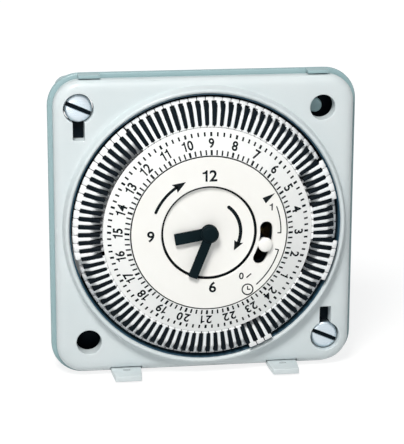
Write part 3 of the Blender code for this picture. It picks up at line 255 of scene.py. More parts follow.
class Shape:
    """Closed surfaces gathered into one mesh: points in millimetres, and faces by index."""

    def __init__(self, *surfaces):
        self.points, self.faces, self.count = [], [], 0
        self.add(*surfaces)

    def add(self, *surfaces):
        for points, faces in surfaces:
            points = np.asarray(points, float).reshape(-1, 3)
            self.faces += [[index + self.count for index in face] for face in faces]
            self.points.append(points)
            self.count += len(points)

    def mesh(self, name):
        mesh = bpy.data.meshes.new(name)
        mesh.from_pydata((np.concatenate(self.points) * MM).tolist(), [], self.faces)
        tidy = bmesh.new()
        tidy.from_mesh(mesh)
        bmesh.ops.remove_doubles(tidy, verts=tidy.verts, dist=WELD)
        bmesh.ops.recalc_face_normals(tidy, faces=tidy.faces)
        tidy.to_mesh(mesh)
        tidy.free()
        return mesh


def loft(rings, closed=False):
    """Rings of points carried one to the next: joined end to end, or closed by a flat face at each end."""
    rings = np.asarray(rings, float)
    rows, columns = rings.shape[:2]
    return rings, sheet(rows, columns, True, True) if closed else tube(rows, columns)


def spun(profile, steps, x=0.0, z=0.0):
    """A closed profile of (radius, level) spun about an axis along Y: the point at (i, j) is profile point j turned
    by i steps of the circle."""
    profile = np.asarray(profile, float)
    turn = np.arange(steps)[:, None] * math.tau / steps
    flat = polar(profile[None, :, 0], turn) + (x, z)
    return place(flat, profile[None, :, 1]), sheet(steps, len(profile), True, True)


def grown(outline, amount):
    """A closed outline moved outward along the mean of its neighbouring edges' normals, mitred at the corners."""
    outline = np.asarray(outline, float)
    onward = np.roll(outline, -1, axis=0)
    area = np.sum(outline[:, 0] * onward[:, 1] - onward[:, 0] * outline[:, 1])
    edge = onward - outline
    edge /= np.linalg.norm(edge, axis=1, keepdims=True)
    normal = np.stack([edge[:, 1], -edge[:, 0]], axis=1) * math.copysign(1, area)
    before = np.roll(normal, 1, axis=0)
    share = 1 + np.sum(normal * before, axis=1, keepdims=True)
    return outline + amount * (normal + before) / np.maximum(share, 0.3)


def pressed(outline, steps):
    """An outline carried through (growth, level) steps and closed at both ends, as a moulded or stamped plate."""
    return loft([place(grown(outline, growth), level) for growth, level in steps])


def prism(outline, low, high):
    """An outline carried straight from one level to another."""
    return pressed(outline, [(0, low), (0, high)])


def slab(outline, low, high, edge):
    """A plate between two levels, its front and back edges rounded by a quarter circle of the radius given."""
    turn = np.linspace(0, QUARTER, 4)
    back = [(-edge * (1 - math.sin(t)), low + edge * (1 - math.cos(t))) for t in turn]
    front = [(-edge * (1 - math.cos(t)), high - edge * (1 - math.sin(t))) for t in turn]
    return pressed(outline, back + front)


def along_x(surface):
    """A surface pressed forward from (up, forward) outlines, laid so that its steps run along X."""
    points, faces = surface
    return np.stack([-points[..., 1], -points[..., 2], points[..., 0]], axis=-1), faces


def along_z(surface):
    """A surface pressed forward from (across, forward) outlines, laid so that its steps run along Z."""
    points, faces = surface
    return np.stack([points[..., 0], -points[..., 2], -points[..., 1]], axis=-1), faces


def rounded_square(half, corner, per_corner):
    """A square with round corners: four quarter circles, joined by straight sides."""
    turn = np.linspace(0, QUARTER, per_corner + 1)[None, :] + np.arange(4)[:, None] * QUARTER
    middle = np.array([[1, 1], [1, -1], [-1, -1], [-1, 1]], float)[:, None, :] * (half - corner)
    return (middle + polar(corner, turn)).reshape(-1, 2)


def rectangle(x0, z0, x1, z1):
    """A rectangle between two opposite corners, which may come in either order."""
    (x0, x1), (z0, z1) = sorted((x0, x1)), sorted((z0, z1))
    return np.array([(x0, z0), (x1, z0), (x1, z1), (x0, z1)], float)


def octagon(half, chamfer):
    near = half - chamfer
    return np.array(
        [(half, near), (half, -near), (near, -half), (-near, -half),
         (-half, -near), (-half, near), (-near, half), (near, half)], float
    )


def circle(radius, count, x=0.0, z=0.0):
    return polar(radius, np.arange(count) * math.tau / count) + (x, z)


def arc_band(radius, half, start, end, count=24):
    """A band that follows a circle between two clock angles and has round ends."""
    along = np.linspace(start, end, count)
    cap = np.linspace(0, HALF_TURN, 10)[1:-1]
    return np.concatenate([
        polar(radius + half, along), polar(radius, end) + polar(half, end + cap),
        polar(radius - half, along[::-1]), polar(radius, start) + polar(half, start + HALF_TURN + cap),
    ])


def hub_arc(radius, half, turn, count=40):
    """The round part of a hub that an arm of the half width given leaves at a clock angle."""
    gap = math.asin(half / radius)
    return polar(radius, np.linspace(turn + gap, turn + math.tau - gap, count))


def turned(outline, turn, x, z):
    """An outline round the origin, turned clockwise and moved to a point of the front view."""
    c, s = math.cos(turn), math.sin(turn)
    return outline @ np.array([[c, -s], [s, c]]) + (x, z)


def eased(outline, radius, count=4):
    """An outline whose corners are eased by a curve that leaves each side at the distance given."""
    outline = np.asarray(outline, float)
    back = np.roll(outline, 1, axis=0) - outline
    on = np.roll(outline, -1, axis=0) - outline
    start = outline + radius * back / np.linalg.norm(back, axis=1, keepdims=True)
    end = outline + radius * on / np.linalg.norm(on, axis=1, keepdims=True)
    t = np.linspace(0, 1, count)[None, :, None]
    curve = (1 - t) ** 2 * start[:, None] + 2 * t * (1 - t) * outline[:, None] + t**2 * end[:, None]
    return curve.reshape(-1, 2)


# ---------------------------------------------------------------- pieces


def piece(name, shape, look, node, body="case", tools=(), stands=True, sharp=SHARP):
    """An object at the origin, made from a shape and the tools that cut or join it. It rides on a body and, unless it
    is only trim, stands for a CAD node, which it hides."""
    mesh = combined(name, shape, tools) if tools else shape.mesh(name)
    mesh.materials.append(finish(look))
    mesh.shade_smooth()
    mesh.set_sharp_from_angle(angle=sharp)
    made = bpy.data.objects.new(name, mesh)
    bpy.context.scene.collection.objects.link(made)
    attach(made, body)
    if stands:
        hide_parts(node)


def cut(surface):
    return "DIFFERENCE", Shape(surface)


def join(surface):
    return "UNION", Shape(surface)


def combined(name, base, tools):
    """A shape's mesh after each (operation, shape) is cut from it or joined to it."""
    scene = bpy.context.scene.collection
    made = []
    for number, shape in enumerate((base, *(shape for _, shape in tools))):
        label = f"{name}_{number}" if number else name
        made.append(bpy.data.objects.new(label, shape.mesh(label)))
        scene.objects.link(made[-1])
    target, *helpers = made
    for (operation, _), helper in zip(tools, helpers):
        change = target.modifiers.new(helper.name, "BOOLEAN")
        change.operation, change.object, change.solver = operation, helper, "EXACT"
    graph = bpy.context.evaluated_depsgraph_get()
    mesh = bpy.data.meshes.new_from_object(target.evaluated_get(graph))
    mesh.materials.clear()
    for item in made:
        data = item.data
        bpy.data.objects.remove(item)
        bpy.data.meshes.remove(data)
    if not mesh.polygons:
        raise RuntimeError(f"{name} has no faces left")
    return mesh


ONE = np.array(
    [(0.25, 0), (0.42, 0), (0.42, 1), (0.3, 1), (0.23, 0.89), (0.14, 0.83), (0, 0.81), (0, 0.68), (0.25, 0.68)]
)
FIGURE_GAP = 0.16


def figure(character, weight):
    """One figure's points, (across, up, forward) in shares of its height, and its faces. A one is a stem with a flag,
    pressed from its outline, and the others come from Blender's own typeface."""
    if character == "1":
        points, faces = loft([np.insert(ONE, 2, end, axis=1) for end in (-0.5, 0.5)])
        return points.reshape(-1, 3), faces
    curve = bpy.data.curves.new(character, "FONT")
    curve.body, curve.size, curve.resolution_u, curve.extrude, curve.offset = character, 1.0, 3, 0.5, weight
    holder = bpy.data.objects.new(character, curve)
    bpy.context.scene.collection.objects.link(holder)
    mesh = bpy.data.meshes.new_from_object(holder.evaluated_get(bpy.context.evaluated_depsgraph_get()))
    points = np.array([tuple(vertex.co) for vertex in mesh.vertices])
    faces = [list(face.vertices) for face in mesh.polygons]
    bpy.data.objects.remove(holder)
    bpy.data.curves.remove(curve)
    bpy.data.meshes.remove(mesh)
    low, high = points.min(axis=0), points.max(axis=0)
    tall = high[1] - low[1]
    return (points - (low[0], low[1], 0)) / (tall, tall, 1), faces


def lettering(text, height, narrow, thick, weight):
    """A number's points, (across, up, forward) round its middle, and its faces: its figures set side by side."""
    row, across = Shape(), 0.0
    for character in text:
        points, faces = figure(character, weight)
        row.add((points + (across, 0, 0), faces))
        across += points[:, 0].max() + FIGURE_GAP
    points = np.concatenate(row.points) - ((across - FIGURE_GAP) / 2, 0.5, 0)
    return points * (height * narrow, height, thick), row.faces


# ---------------------------------------------------------------- finishes


def feed(tree, socket, source):
    """Links a socket to another one, or sets it to a value."""
    if isinstance(source, bpy.types.NodeSocket):
        tree.links.new(source, socket)
    else:
        socket.default_value = source


def shader_node(tree, kind, inputs=(), **settings):
    """A shader node with its settings, and with the inputs named or numbered linked or set."""
    made = tree.nodes.new("ShaderNode" + kind)
    for name, value in settings.items():
        setattr(made, name, value)
    for label, source in dict(inputs).items():
        feed(tree, made.inputs[label], source)
    return made


def object_noise(tree, scale, detail, stretch=(1, 1, 1)):
    """A noise texture on Object coordinates, which may be stretched along an axis."""
    spot = shader_node(tree, "TexCoord").outputs["Object"]
    mapped = shader_node(tree, "Mapping", {"Vector": spot, "Scale": stretch}).outputs["Vector"]
    return shader_node(tree, "TexNoise", {"Vector": mapped, "Scale": scale, "Detail": detail}).outputs["Fac"]


def spread(tree, value, low, high, to_low=0.0, to_high=1.0):
    """A value's range mapped to another, clamped; the new ends may be sockets."""
    ends = {"Value": value, "From Min": low, "From Max": high, "To Min": to_low, "To Max": to_high}
    return shader_node(tree, "MapRange", ends).outputs["Result"]


def blended(tree, share, first, second):
    """Two colours mixed by a share."""
    mix = shader_node(tree, "Mix", data_type="RGBA")
    factor = next(s for s in mix.inputs if s.name == "Factor" and s.type == "VALUE")
    colours = [s for s in mix.inputs if s.type == "RGBA"]
    for socket, source in zip((factor, *colours), (share, first, second)):
        feed(tree, socket, source)
    return next(s for s in mix.outputs if s.type == "RGBA")


def tone(tree, given):
    """Slow drift of a moulding's colour with faint specks and worn edges: a broad noise, a fine one and the edges of
    the mesh mix three colours."""
    broad = spread(tree, object_noise(tree, given["Drift scale"], 3.0), 0.3, 0.75)
    drift = blended(tree, broad, given["Colour"], given["Shade"])
    fine = spread(tree, object_noise(tree, given["Speck scale"], 1.0), 0.63, 0.8, 0.0, 0.55)
    speck = blended(tree, fine, drift, given["Shade"])
    edge = spread(tree, shader_node(tree, "NewGeometry").outputs["Pointiness"], 0.53, 0.62, 0.0, 0.7)
    return {"Colour": blended(tree, edge, speck, given["Worn"])}


def grain(tree, given):
    """Moulded grain: a fine noise gives a height for bump, and a broad one swings the roughness."""
    fine, smear = object_noise(tree, given["Scale"], 4.0), object_noise(tree, 160.0, 3.0)
    return {"Roughness": spread(tree, smear, 0.3, 0.7, given["Smooth"], given["Rough"]), "Height": fine}


def brush(tree, given):
    """Drawn or brushed metal: a noise stretched along X gives fine scratches for bump and roughness."""
    lines = object_noise(tree, given["Scale"], 3.0, (0.12, 1.0, 3.0))
    return {"Roughness": spread(tree, lines, 0.3, 0.7, given["Smooth"], given["Rough"]), "Height": lines}


SHARED = {
    "moulding_tone": (tone, {"Colour": (0.8, 0.8, 0.8, 1), "Shade": (0.7, 0.7, 0.7, 1), "Worn": (0.85, 0.85, 0.85, 1),
                             "Drift scale": 90.0, "Speck scale": 2600.0}),
    "moulding_grain": (grain, {"Scale": 2000.0, "Smooth": 0.3, "Rough": 0.5}),
    "metal_brush": (brush, {"Scale": 900.0, "Smooth": 0.2, "Rough": 0.45}),
}


def shared(name):
    """A shader group by its name, made once: its function fills it between its input and its output sockets."""
    found = bpy.data.node_groups.get(name)
    if found:
        return found
    build, inputs = SHARED[name]
    tree = bpy.data.node_groups.new(name, "ShaderNodeTree")
    for label, default in inputs.items():
        kind = "NodeSocketColor" if isinstance(default, tuple) else "NodeSocketFloat"
        tree.interface.new_socket(label, in_out="INPUT", socket_type=kind).default_value = default
    made = build(tree, tree.nodes.new("NodeGroupInput").outputs)
    for label in made:
        kind = "NodeSocketColor" if label == "Colour" else "NodeSocketFloat"
        tree.interface.new_socket(label, in_out="OUTPUT", socket_type=kind)
    sink = tree.nodes.new("NodeGroupOutput")
    for label, socket in made.items():
        tree.links.new(socket, sink.inputs[label])
    return tree


# The bump is in millimetres, the shade multiplies the colour, and the wear lightens the edges.
Finish = namedtuple(
    "Finish", "colour smooth rough scale bump shade specular metal coat wear", defaults=(0.0, 0.0, 0.06)
)
FINISHES = {
    "plate_white": Finish("plate", 0.3, 0.42, 1500.0, 0.012, (0.95, 0.97, 0.975), 0.35, coat=0.12),
    "frame_grey": Finish("frame", 0.34, 0.48, 1800.0, 0.014, (0.9, 0.94, 0.95), 0.35, coat=0.05),
    "tappet_white": Finish("tappet", 0.3, 0.42, 2200.0, 0.006, (0.94, 0.965, 0.98), 0.3, coat=0.1),
    "ring_white": Finish("ring", 0.42, 0.55, 2400.0, 0.006, (0.955, 0.965, 0.965), 0.15, wear=0.0),
    "dial_white": Finish("dial", 0.45, 0.58, 2400.0, 0.006, (0.97, 0.965, 0.955), 0.12, wear=0.0),
    "black_moulding": Finish("black", 0.34, 0.5, 1800.0, 0.01, (0.6, 0.7, 0.75), 0.04),
    # Painted shade: the finish of the ring that lines the opening, dark blue in place of the collar's shade.
    "lining_blue": Finish("lining", 0.3, 0.45, 1800.0, 0.01, (0.7, 0.8, 0.85), 0.2),
    "print_ink": Finish("ink", 0.45, 0.6, 3500.0, 0.002, (1.9, 1.8, 1.8), 0.015),
    "hand_paint": Finish("hand", 0.36, 0.5, 2600.0, 0.004, (1.7, 1.6, 1.5), 0.03),
    "rear_plastic": Finish("rear", 0.4, 0.55, 1300.0, 0.02, (0.85, 0.88, 0.9), 0.3),
    "zinc_plate": Finish("zinc", 0.2, 0.4, 700.0, 0.01, (0.8, 0.88, 0.92), 0.5, metal=1.0),
    "brass_plate": Finish("brass", 0.24, 0.42, 900.0, 0.008, (0.78, 0.72, 0.62), 0.5, metal=1.0),
    "tin_plate": Finish("tin", 0.18, 0.36, 700.0, 0.008, (0.86, 0.87, 0.9), 0.5, metal=1.0),
    "copper_wire": Finish("copper", 0.25, 0.4, 1600.0, 0.03, (0.6, 0.5, 0.45), 0.5, metal=0.6, coat=0.2),
}
BUMP_STRENGTH, WORN_LIFT, WORN_MOST = 0.5, 0.2, 0.95


def finish(name):
    """A Principled material whose colour, roughness and bump come from the shared groups."""
    found = bpy.data.materials.get(name)
    if found:
        return found
    look = FINISHES[name]
    base = np.array(getattr(bpy.context.scene.time_switch_colours, look.colour))
    shade = np.clip(base * look.shade, 0, 1)
    worn = np.clip(base * (1 + look.wear) + WORN_LIFT * look.wear, 0, WORN_MOST)
    material = bpy.data.materials.new(name)
    material.use_nodes = True
    tree = material.node_tree
    colours = {"Colour": (*base, 1), "Shade": (*shade, 1), "Worn": (*worn, 1)}
    toned = shader_node(tree, "Group", colours, node_tree=shared("moulding_tone")).outputs
    texture = {"Scale": look.scale, "Smooth": look.smooth, "Rough": look.rough}
    group = shared("metal_brush" if look.metal else "moulding_grain")
    grained = shader_node(tree, "Group", texture, node_tree=group).outputs
    relief = {"Strength": BUMP_STRENGTH, "Distance": look.bump * MM, "Height": grained["Height"]}
    inputs = {
        "Base Color": toned["Colour"], "Roughness": grained["Roughness"], "Metallic": look.metal,
        "Coat Weight": look.coat, "Specular IOR Level": look.specular,
        "Normal": shader_node(tree, "Bump", relief).outputs["Normal"],
    }
    for label, source in inputs.items():
        feed(tree, tree.nodes["Principled BSDF"].inputs[label], source)
    return material


# ---------------------------------------------------------------- front


SCREWS = (("upper", -1), ("lower", 1))
SKIRT_HALF, SKIRT_WALL, SKIRT_CORNER, SKIRT_DEPTH, SKIRT_EDGE = 33.75, 1.6, 3.0, 7.0, 0.2
HOUSING_HALF, HOUSING_CHAMFER, HOUSING_WALL = 31.45, 14.5, 1.6
REAR_HALF, REAR_CHAMFER, STEP_LEVEL = 28.0, 12.479, -11.7
LUG_HALF, LUG_DEPTH, LUG_SINK = 4.0, 3.6, 0.3
WEB_GAP, WEB_HALF, WEB_CORNER = 0.6, 0.5, 1.2
CLAW_HALF, CLAW_FRONT, CLAW_THICK, CLAW_REACH, CLAW_CHAMFER, CLAW_GAP = 3.0, -6.0, 3.0, 34.7, 2.2, 0.3
SHANK_RADIUS, SCREW_LENGTH, SCREW_PITCH, THREAD_START = 1.75, 17.0, 0.6, 3.2
HEAD_HEIGHT, DRIVE_HALF, DRIVE_DEPTH, DRIVE_TURN = 2.7, 0.45, 0.95, math.radians(24)
POST_RADIUS, POST_SINK = 1.7, 0.4
CLIP_ROOT = 1.5
TAB_X, TAB_HALF, TAB_REACH, TAB_TOP, TAB_FOOT = 26.5, 2.5, 2.8, 0.1, 0.85
TONGUE_X, TONGUE_HALF, TONGUE_TIP, TONGUE_TAPER = 18.7, 3.5, 3.1, 7.0
TONGUE_REACH, TONGUE_LIFT, TONGUE_THICK, TONGUE_ROOM = 9.6, 0.45, 1.35, 0.3
TONGUE_SLOT_HALF, TONGUE_SLOT_FAR, TONGUE_SLOT_NEAR = 0.85, 4.8, 4.0
KEYHOLE_GAP, KEYHOLE_HALF, KEYHOLE_REACH, RIM = 0.3, 1.375, 7.4, 0.2
PAD_HALF, PAD_NEAR, PAD_FAR, PAD_LOW, PAD_HIGH = 2.4, 2.6, 8.6, 3.04, 3.26


def screw_at(sizes, side):
    return side * sizes.screw_x, -side * sizes.screw_z


class FrameOperator(bpy.types.Operator):
    """Build the panel frame: a flange and skirt carried round a square, with webs, lugs and clips"""

    bl_idname = "timeswitch.mounting_frame"
    bl_label = "Mounting frame"

    def execute(self, context):
        sizes = in_mm(context.scene.time_switch_front)
        half, flange = sizes.frame_side / 2, sizes.flange
        inner = SKIRT_HALF - SKIRT_WALL
        shell = Shape(self.shell(half, sizes.frame_corner, flange, inner))
        outer, far = HOUSING_HALF + WEB_GAP, inner - 0.02
        near = outer - HOUSING_CHAMFER
        bend = far - WEB_CORNER
        web = np.array([(near, outer), (near, far), (bend, far), (far, bend), (far, near), (outer, near)])
        webs, cuts, lugs = Shape(), [], []
        for turn in ((1, 1), (1, -1), (-1, 1), (-1, -1)):
            webs.add(slab(web * turn, -WEB_HALF, WEB_HALF, 0.12))
        for _, side in SCREWS:
            x, z = screw_at(sizes, side)
            block = rectangle(x - side * LUG_HALF, z + side * LUG_HALF, side * far, -side * far)
            lugs.append(join(slab(block, flange - LUG_DEPTH, flange - LUG_SINK, 0.15)))
            hole = circle(SHANK_RADIUS + 0.3, 28, x, z)
            lugs.append(cut(pressed(hole, [(0, -4.0), (0, flange - 0.5), (0.3, flange)])))
            reach = CLAW_HALF + CLAW_GAP
            notch = rectangle(side * (inner - SKIRT_CORNER / 2), z - reach, side * (SKIRT_HALF + 0.5), z + reach)
            cuts.append(cut(prism(notch, -SKIRT_DEPTH - 1, -WEB_HALF - 0.02)))
        top, wide = flange - POST_SINK, POST_RADIUS
        post = [(0, WEB_HALF), (wide, WEB_HALF), (wide, top - 0.25), (wide - 0.25, top), (0, top)]
        shell.add(spun(post, 28, sizes.hole_offset - 1.0, sizes.hole_offset - 0.3))
        piece("frame_shell", shell, "frame_grey", "mounting_frame", tools=cuts)
        # Painted shade: the webs and lugs, parts of the grey frame, take the black finish so the plain holes and the
        # keyholes' gaps read dark.
        piece("frame_webs", webs, "black_moulding", "mounting_frame", tools=lugs, stands=False)
        self.clips(half, flange)
        return {"FINISHED"}

    @staticmethod
    def shell(half, corner, flange, inner):
        """The flange and skirt: rounded squares of (half side, corner, level), from the panel round the flange's
        edge, down the skirt's inside and up its outside."""
        inner_corner, deep, e = SKIRT_CORNER - SKIRT_WALL / 2, -SKIRT_DEPTH, SKIRT_EDGE
        edge = [(0.5, 0.0), (0.35, 0.2), (0, 1.9), (0, flange - 0.5), (0.07, flange - 0.25), (0.22, flange - 0.08),
                (0.45, flange)]
        profile = [(half - less, corner - less, level) for less, level in edge] + [
            (inner + 0.25, inner_corner + 0.2, flange), (inner, inner_corner, flange - 0.25),
            (inner, inner_corner, deep + e), (inner + e, inner_corner + e / 2, deep),
            (SKIRT_HALF - e, SKIRT_CORNER - e / 2, deep), (SKIRT_HALF, SKIRT_CORNER, deep + e),
            (SKIRT_HALF, SKIRT_CORNER, 0.0),
        ]
        return loft([place(rounded_square(s, c, 12), level) for s, c, level in profile], closed=True)

    @staticmethod
    def clips(half, flange):
        """Short tabs along the top edge, pressed sideways, and tapered tongues under the bottom edge, pressed up."""
        tabs, shades, tongues, slots = Shape(), Shape(), Shape(), []
        top, foot, front = half - TAB_TOP, half - TAB_FOOT, flange + TAB_REACH
        tab = eased([(top, CLIP_ROOT), (top, front), (foot, front), (foot, CLIP_ROOT)], 0.12, 3)
        low, end = TONGUE_LIFT - half, flange + TONGUE_REACH
        for side in SIDES:
            x = side * TAB_X
            tabs.add(along_x(slab(tab, x - TAB_HALF, x + TAB_HALF, 0.16)))
            x = side * TONGUE_X
            left, right = x - TONGUE_HALF, x + TONGUE_HALF
            tongue = [(left, CLIP_ROOT), (right, CLIP_ROOT), (right, TONGUE_TAPER), (x + TONGUE_TIP, end),
                      (x - TONGUE_TIP, end), (left, TONGUE_TAPER)]
            tongues.add(along_z(slab(eased(tongue, 0.3), low, low + TONGUE_THICK, 0.18)))
            wide = TONGUE_SLOT_HALF
            slot = rectangle(x - wide, end - TONGUE_SLOT_FAR, x + wide, end - TONGUE_SLOT_NEAR)
            slot = eased(slot, 0.15, 3)
            slots.append(cut(along_z(prism(slot, low - 1, low + 3))))
            # Painted shade: a black fill at the bottom of each tongue's slot makes the slot read dark.
            shades.add(along_z(pressed(slot, [(0.02, low + 0.2), (0, low + 0.8)])))
        piece("frame_tabs", tabs, "frame_grey", "mounting_frame", stands=False)
        piece("frame_tongues", tongues, "plate_white", "mounting_frame", tools=slots, stands=False)
        piece("tongue_slots", shades, "black_moulding", "mounting_frame", stands=False)


class PlateOperator(bpy.types.Operator):
    """Build the front plate: one closed surface round the dial's opening, then its holes"""

    bl_idname = "timeswitch.front_plate"
    bl_label = "Front plate"

    def execute(self, context):
        sizes = in_mm(context.scene.time_switch_front)
        face, low = sizes.plate_face, -sizes.frame_side / 2
        cuts = [cut(pressed(self.keyhole(sizes, side), self.rim(face))) for side in SIDES]
        shade_pads = Shape()
        for side in SIDES:
            hole = circle(sizes.hole_radius, 48, side * sizes.hole_offset, side * sizes.hole_offset)
            cuts.append(cut(pressed(hole, self.rim(face))))
            x, reach = side * TONGUE_X, TONGUE_HALF + TONGUE_ROOM
            cuts.append(cut(prism(rectangle(x - reach, low - 1, x + reach, low + 2.1), 2.0, face + 1)))
            # Painted shade: a black pad on the frame under each keyhole's slot makes the slot read dark.
            x, z = screw_at(sizes, side)
            pad = rectangle(x - PAD_HALF, z + side * PAD_NEAR, x + PAD_HALF, z + side * PAD_FAR)
            shade_pads.add(slab(eased(pad, 0.4), PAD_LOW, PAD_HIGH, 0.04))
        piece("plate_shell", Shape(self.surface(sizes)), "plate_white", "front_plate", tools=cuts)
        piece("keyhole_pads", shade_pads, "black_moulding", "front_plate", stands=False)
        return {"FINISHED"}

    @staticmethod
    def rim(face):
        """Steps of a hole through the plate whose front rim is rounded off."""
        turn = np.linspace(0, QUARTER, 5)
        round_off = [(RIM * (1 - math.cos(t)), face - RIM * (1 - math.sin(t))) for t in turn]
        return [(0, 1.0), *round_off, (RIM, face + 1.0)]

    @staticmethod
    def keyhole(sizes, side):
        """A round hole over the screw's head with a straight slot along the plate's edge, as one outline."""
        x, z = screw_at(sizes, side)
        hole = hub_arc(sizes.screw_head + KEYHOLE_GAP, KEYHOLE_HALF, HALF_TURN if side < 0 else 0.0) + (x, z)
        half, end = side * KEYHOLE_HALF, z + side * KEYHOLE_REACH
        ease = side * 0.2
        tip = [(x - half, end - ease), (x - half + ease, end), (x + half - ease, end), (x + half, end - ease)]
        return np.concatenate([hole, tip])

    @staticmethod
    def surface(sizes, steps=360):
        """The plate as a grid of clock angle and path: from the collar's foot out to the edge, round behind it to the
        opening, and up the collar's wall. Heights fall off as a quarter circle of the distance to the edge."""
        half = sizes.frame_side / 2 - sizes.plate_margin
        corner = sizes.frame_corner - sizes.plate_margin
        back, top, opening = sizes.plate_back, sizes.collar_top, sizes.opening

        def inside(points):
            over = np.abs(points) - (half - corner)
            return corner - np.linalg.norm(np.maximum(over, 0), axis=-1) - np.minimum(over.max(axis=-1), 0)

        turn = np.arange(steps)[:, None] * math.tau / steps
        low, high = np.full((steps, 1), 20.0), np.full((steps, 1), 60.0)
        for _ in range(40):
            middle = (low + high) / 2
            within = inside(polar(middle, turn)) > 0
            low, high = np.where(within, middle, low), np.where(within, high, middle)
        edge, outer = low, opening + 1.5
        share = np.array(
            [0, 0.08, 0.2, 0.35, 0.5, 0.62, 0.72, 0.8, 0.85, 0.89, 0.92, 0.945, 0.965, 0.98, 0.99, 0.997, 1.0]
        )
        flat = polar(outer + 0.3 + (edge - outer - 0.3) * share, turn)
        fall = np.clip(1 - inside(flat) / sizes.plate_border, 0, 1)
        front = place(flat, sizes.plate_face - sizes.plate_round * (1 - np.sqrt(1 - fall**2)))
        behind = place(polar(np.concatenate([edge, edge - 0.25], axis=1), turn), np.array([back + 0.25, back]))
        wall = np.array(
            [(0.8, back), (0.75, back + 0.1), (0.75, back + 0.85), (0.1, back + 0.92), (0, back + 1.05),
             (0, top - 0.75), (0.05, top - 0.45), (0.19, top - 0.2), (0.4, top - 0.05), (0.62, top),
             (0.84, top - 0.07), (1.0, top - 0.22), (1.1, top - 0.5)]
        )
        collar = place(polar(opening + wall[:, 0], turn), wall[:, 1])
        foot_at = np.array([(-0.02, 0.42), (0.03, 0.2), (0.13, 0.06)])
        foot = place(polar(outer + foot_at[:, 0], turn), foot_at[:, 1] - front[:, :1, 1])
        grid = np.concatenate([front, behind, collar, foot], axis=1)
        return grid, sheet(steps, grid.shape[1], True, True)


class ClampOperator(bpy.types.Operator):
    """Build the clamping screws, with a cut thread and a slotted head, and the claws on them"""

    bl_idname = "timeswitch.clamps"
    bl_label = "Clamping screws and claws"

    def execute(self, context):
        sizes = in_mm(context.scene.time_switch_front)
        for name, side in SCREWS:
            x, z = screw_at(sizes, side)
            self.screw(name, x, z, sizes.screw_head, sizes.plate_back)
            self.claw(name, side, x, z)
        return {"FINISHED"}

    def screw(self, name, x, z, head, seat):
        """A low domed head spun about the screw's axis, with its driving slot, and the threaded shank."""
        node, top = f"clamp_screw_{name}", seat + HEAD_HEIGHT
        profile = [(0, top), (head - 1.2, top), (head - 0.55, top - 0.06), (head - 0.2, top - 0.2),
                   (head - 0.04, top - 0.42), (head, top - 0.7), (head, seat + 0.15), (head - 0.15, seat), (0, seat)]
        bar = turned(rectangle(-head - 1, -DRIVE_HALF, head + 1, DRIVE_HALF), DRIVE_TURN, x, z)
        slot = pressed(bar, [(0, top - DRIVE_DEPTH), (0, top - 0.14), (0.14, top + 0.02), (0.14, top + 1)])
        tools = [cut(slot), join(self.thread(x, z, seat + 0.2))]
        piece(f"screw_{name}", Shape(spun(profile, 64, x, z)), "zinc_plate", node, node, tools)
        # Painted shade: a black bar laid at the bottom of the driving slot makes the slot read dark.
        reach, half = head - 0.08, DRIVE_HALF - 0.02
        floor = turned(eased(rectangle(-reach, -half, reach, half), 0.1), DRIVE_TURN, x, z)
        floor = Shape(slab(floor, top - DRIVE_DEPTH + 0.02, top - 0.5, 0.03))
        piece(f"slot_{name}", floor, "black_moulding", node, node, stands=False)

    @staticmethod
    def claw(name, side, x, z):
        """A flat claw that narrows to its tip, pressed from its outline, with the hole for the screw."""
        node = f"clamp_claw_{name}"
        root, tip, half = x - side * CLAW_HALF, side * CLAW_REACH, CLAW_HALF
        bend, narrow = tip - side * CLAW_CHAMFER, CLAW_HALF - CLAW_CHAMFER
        plate = eased([(root, z - half), (bend, z - half), (tip, z - narrow), (tip, z + narrow), (bend, z + half),
                       (root, z + half)], 0.4)
        back = CLAW_FRONT - CLAW_THICK
        hole = prism(circle(SHANK_RADIUS + 0.15, 32, x, z), back - 1, CLAW_FRONT + 1)
        piece(f"claw_{name}", Shape(slab(plate, back, CLAW_FRONT, 0.3)), "zinc_plate", node, node, [cut(hole)])

    @staticmethod
    def thread(x, z, start, steps=32):
        """A screw thread as a grid of turn and length: the radius is a smooth wave of length less turn over the
        pitch, and fades to the plain shank under the head and to a blunt point at the end."""
        turn = np.arange(steps)[:, None] * math.tau / steps
        cuts = np.arange(THREAD_START, SCREW_LENGTH - 0.4, SCREW_PITCH / 6)
        down = np.concatenate([[0.0], cuts, [SCREW_LENGTH - 0.2, SCREW_LENGTH + 0.2]])
        wave = np.cos(math.tau * down[None, :] / SCREW_PITCH - turn)
        depth = np.clip((down - THREAD_START) / 0.8, 0, 1) * np.clip((SCREW_LENGTH - 0.6 - down) / 0.6, 0, 1)
        radius = SHANK_RADIUS - 0.16 * depth * (1 - wave) - 0.45 * np.clip((down - SCREW_LENGTH + 0.9) / 1.1, 0, 1)
        middle = np.full((steps, 1, 2), (x, z))
        side = place(polar(radius, turn) + (x, z), start - down[None, :])
        grid = np.concatenate([place(middle, start), side, place(middle, start - down[-1])], axis=1)
        return grid, sheet(steps, grid.shape[1], True, False)


# ---------------------------------------------------------------- dial


INK = 0.03
NUMERAL_NARROW, NUMERAL_WEIGHT = 0.95, 0.026
# inner and outer radius, half width at the hours, half width between them
TICKS = ((22.5, 23.42, 0.25, 0.2), (18.42, 19.55, 0.25, 0.18))


def cone_level(sizes, radius):
    """The level of the numeral ring's printed face at a radius."""
    return sizes.ring_edge + (sizes.ring_radius - radius) * math.tan(sizes.cone)


def face_levels(sizes):
    """The levels of the centre dial's face and of the recessed disc."""
    face = cone_level(sizes, sizes.ring_inner)
    return face, face - sizes.disc_recess


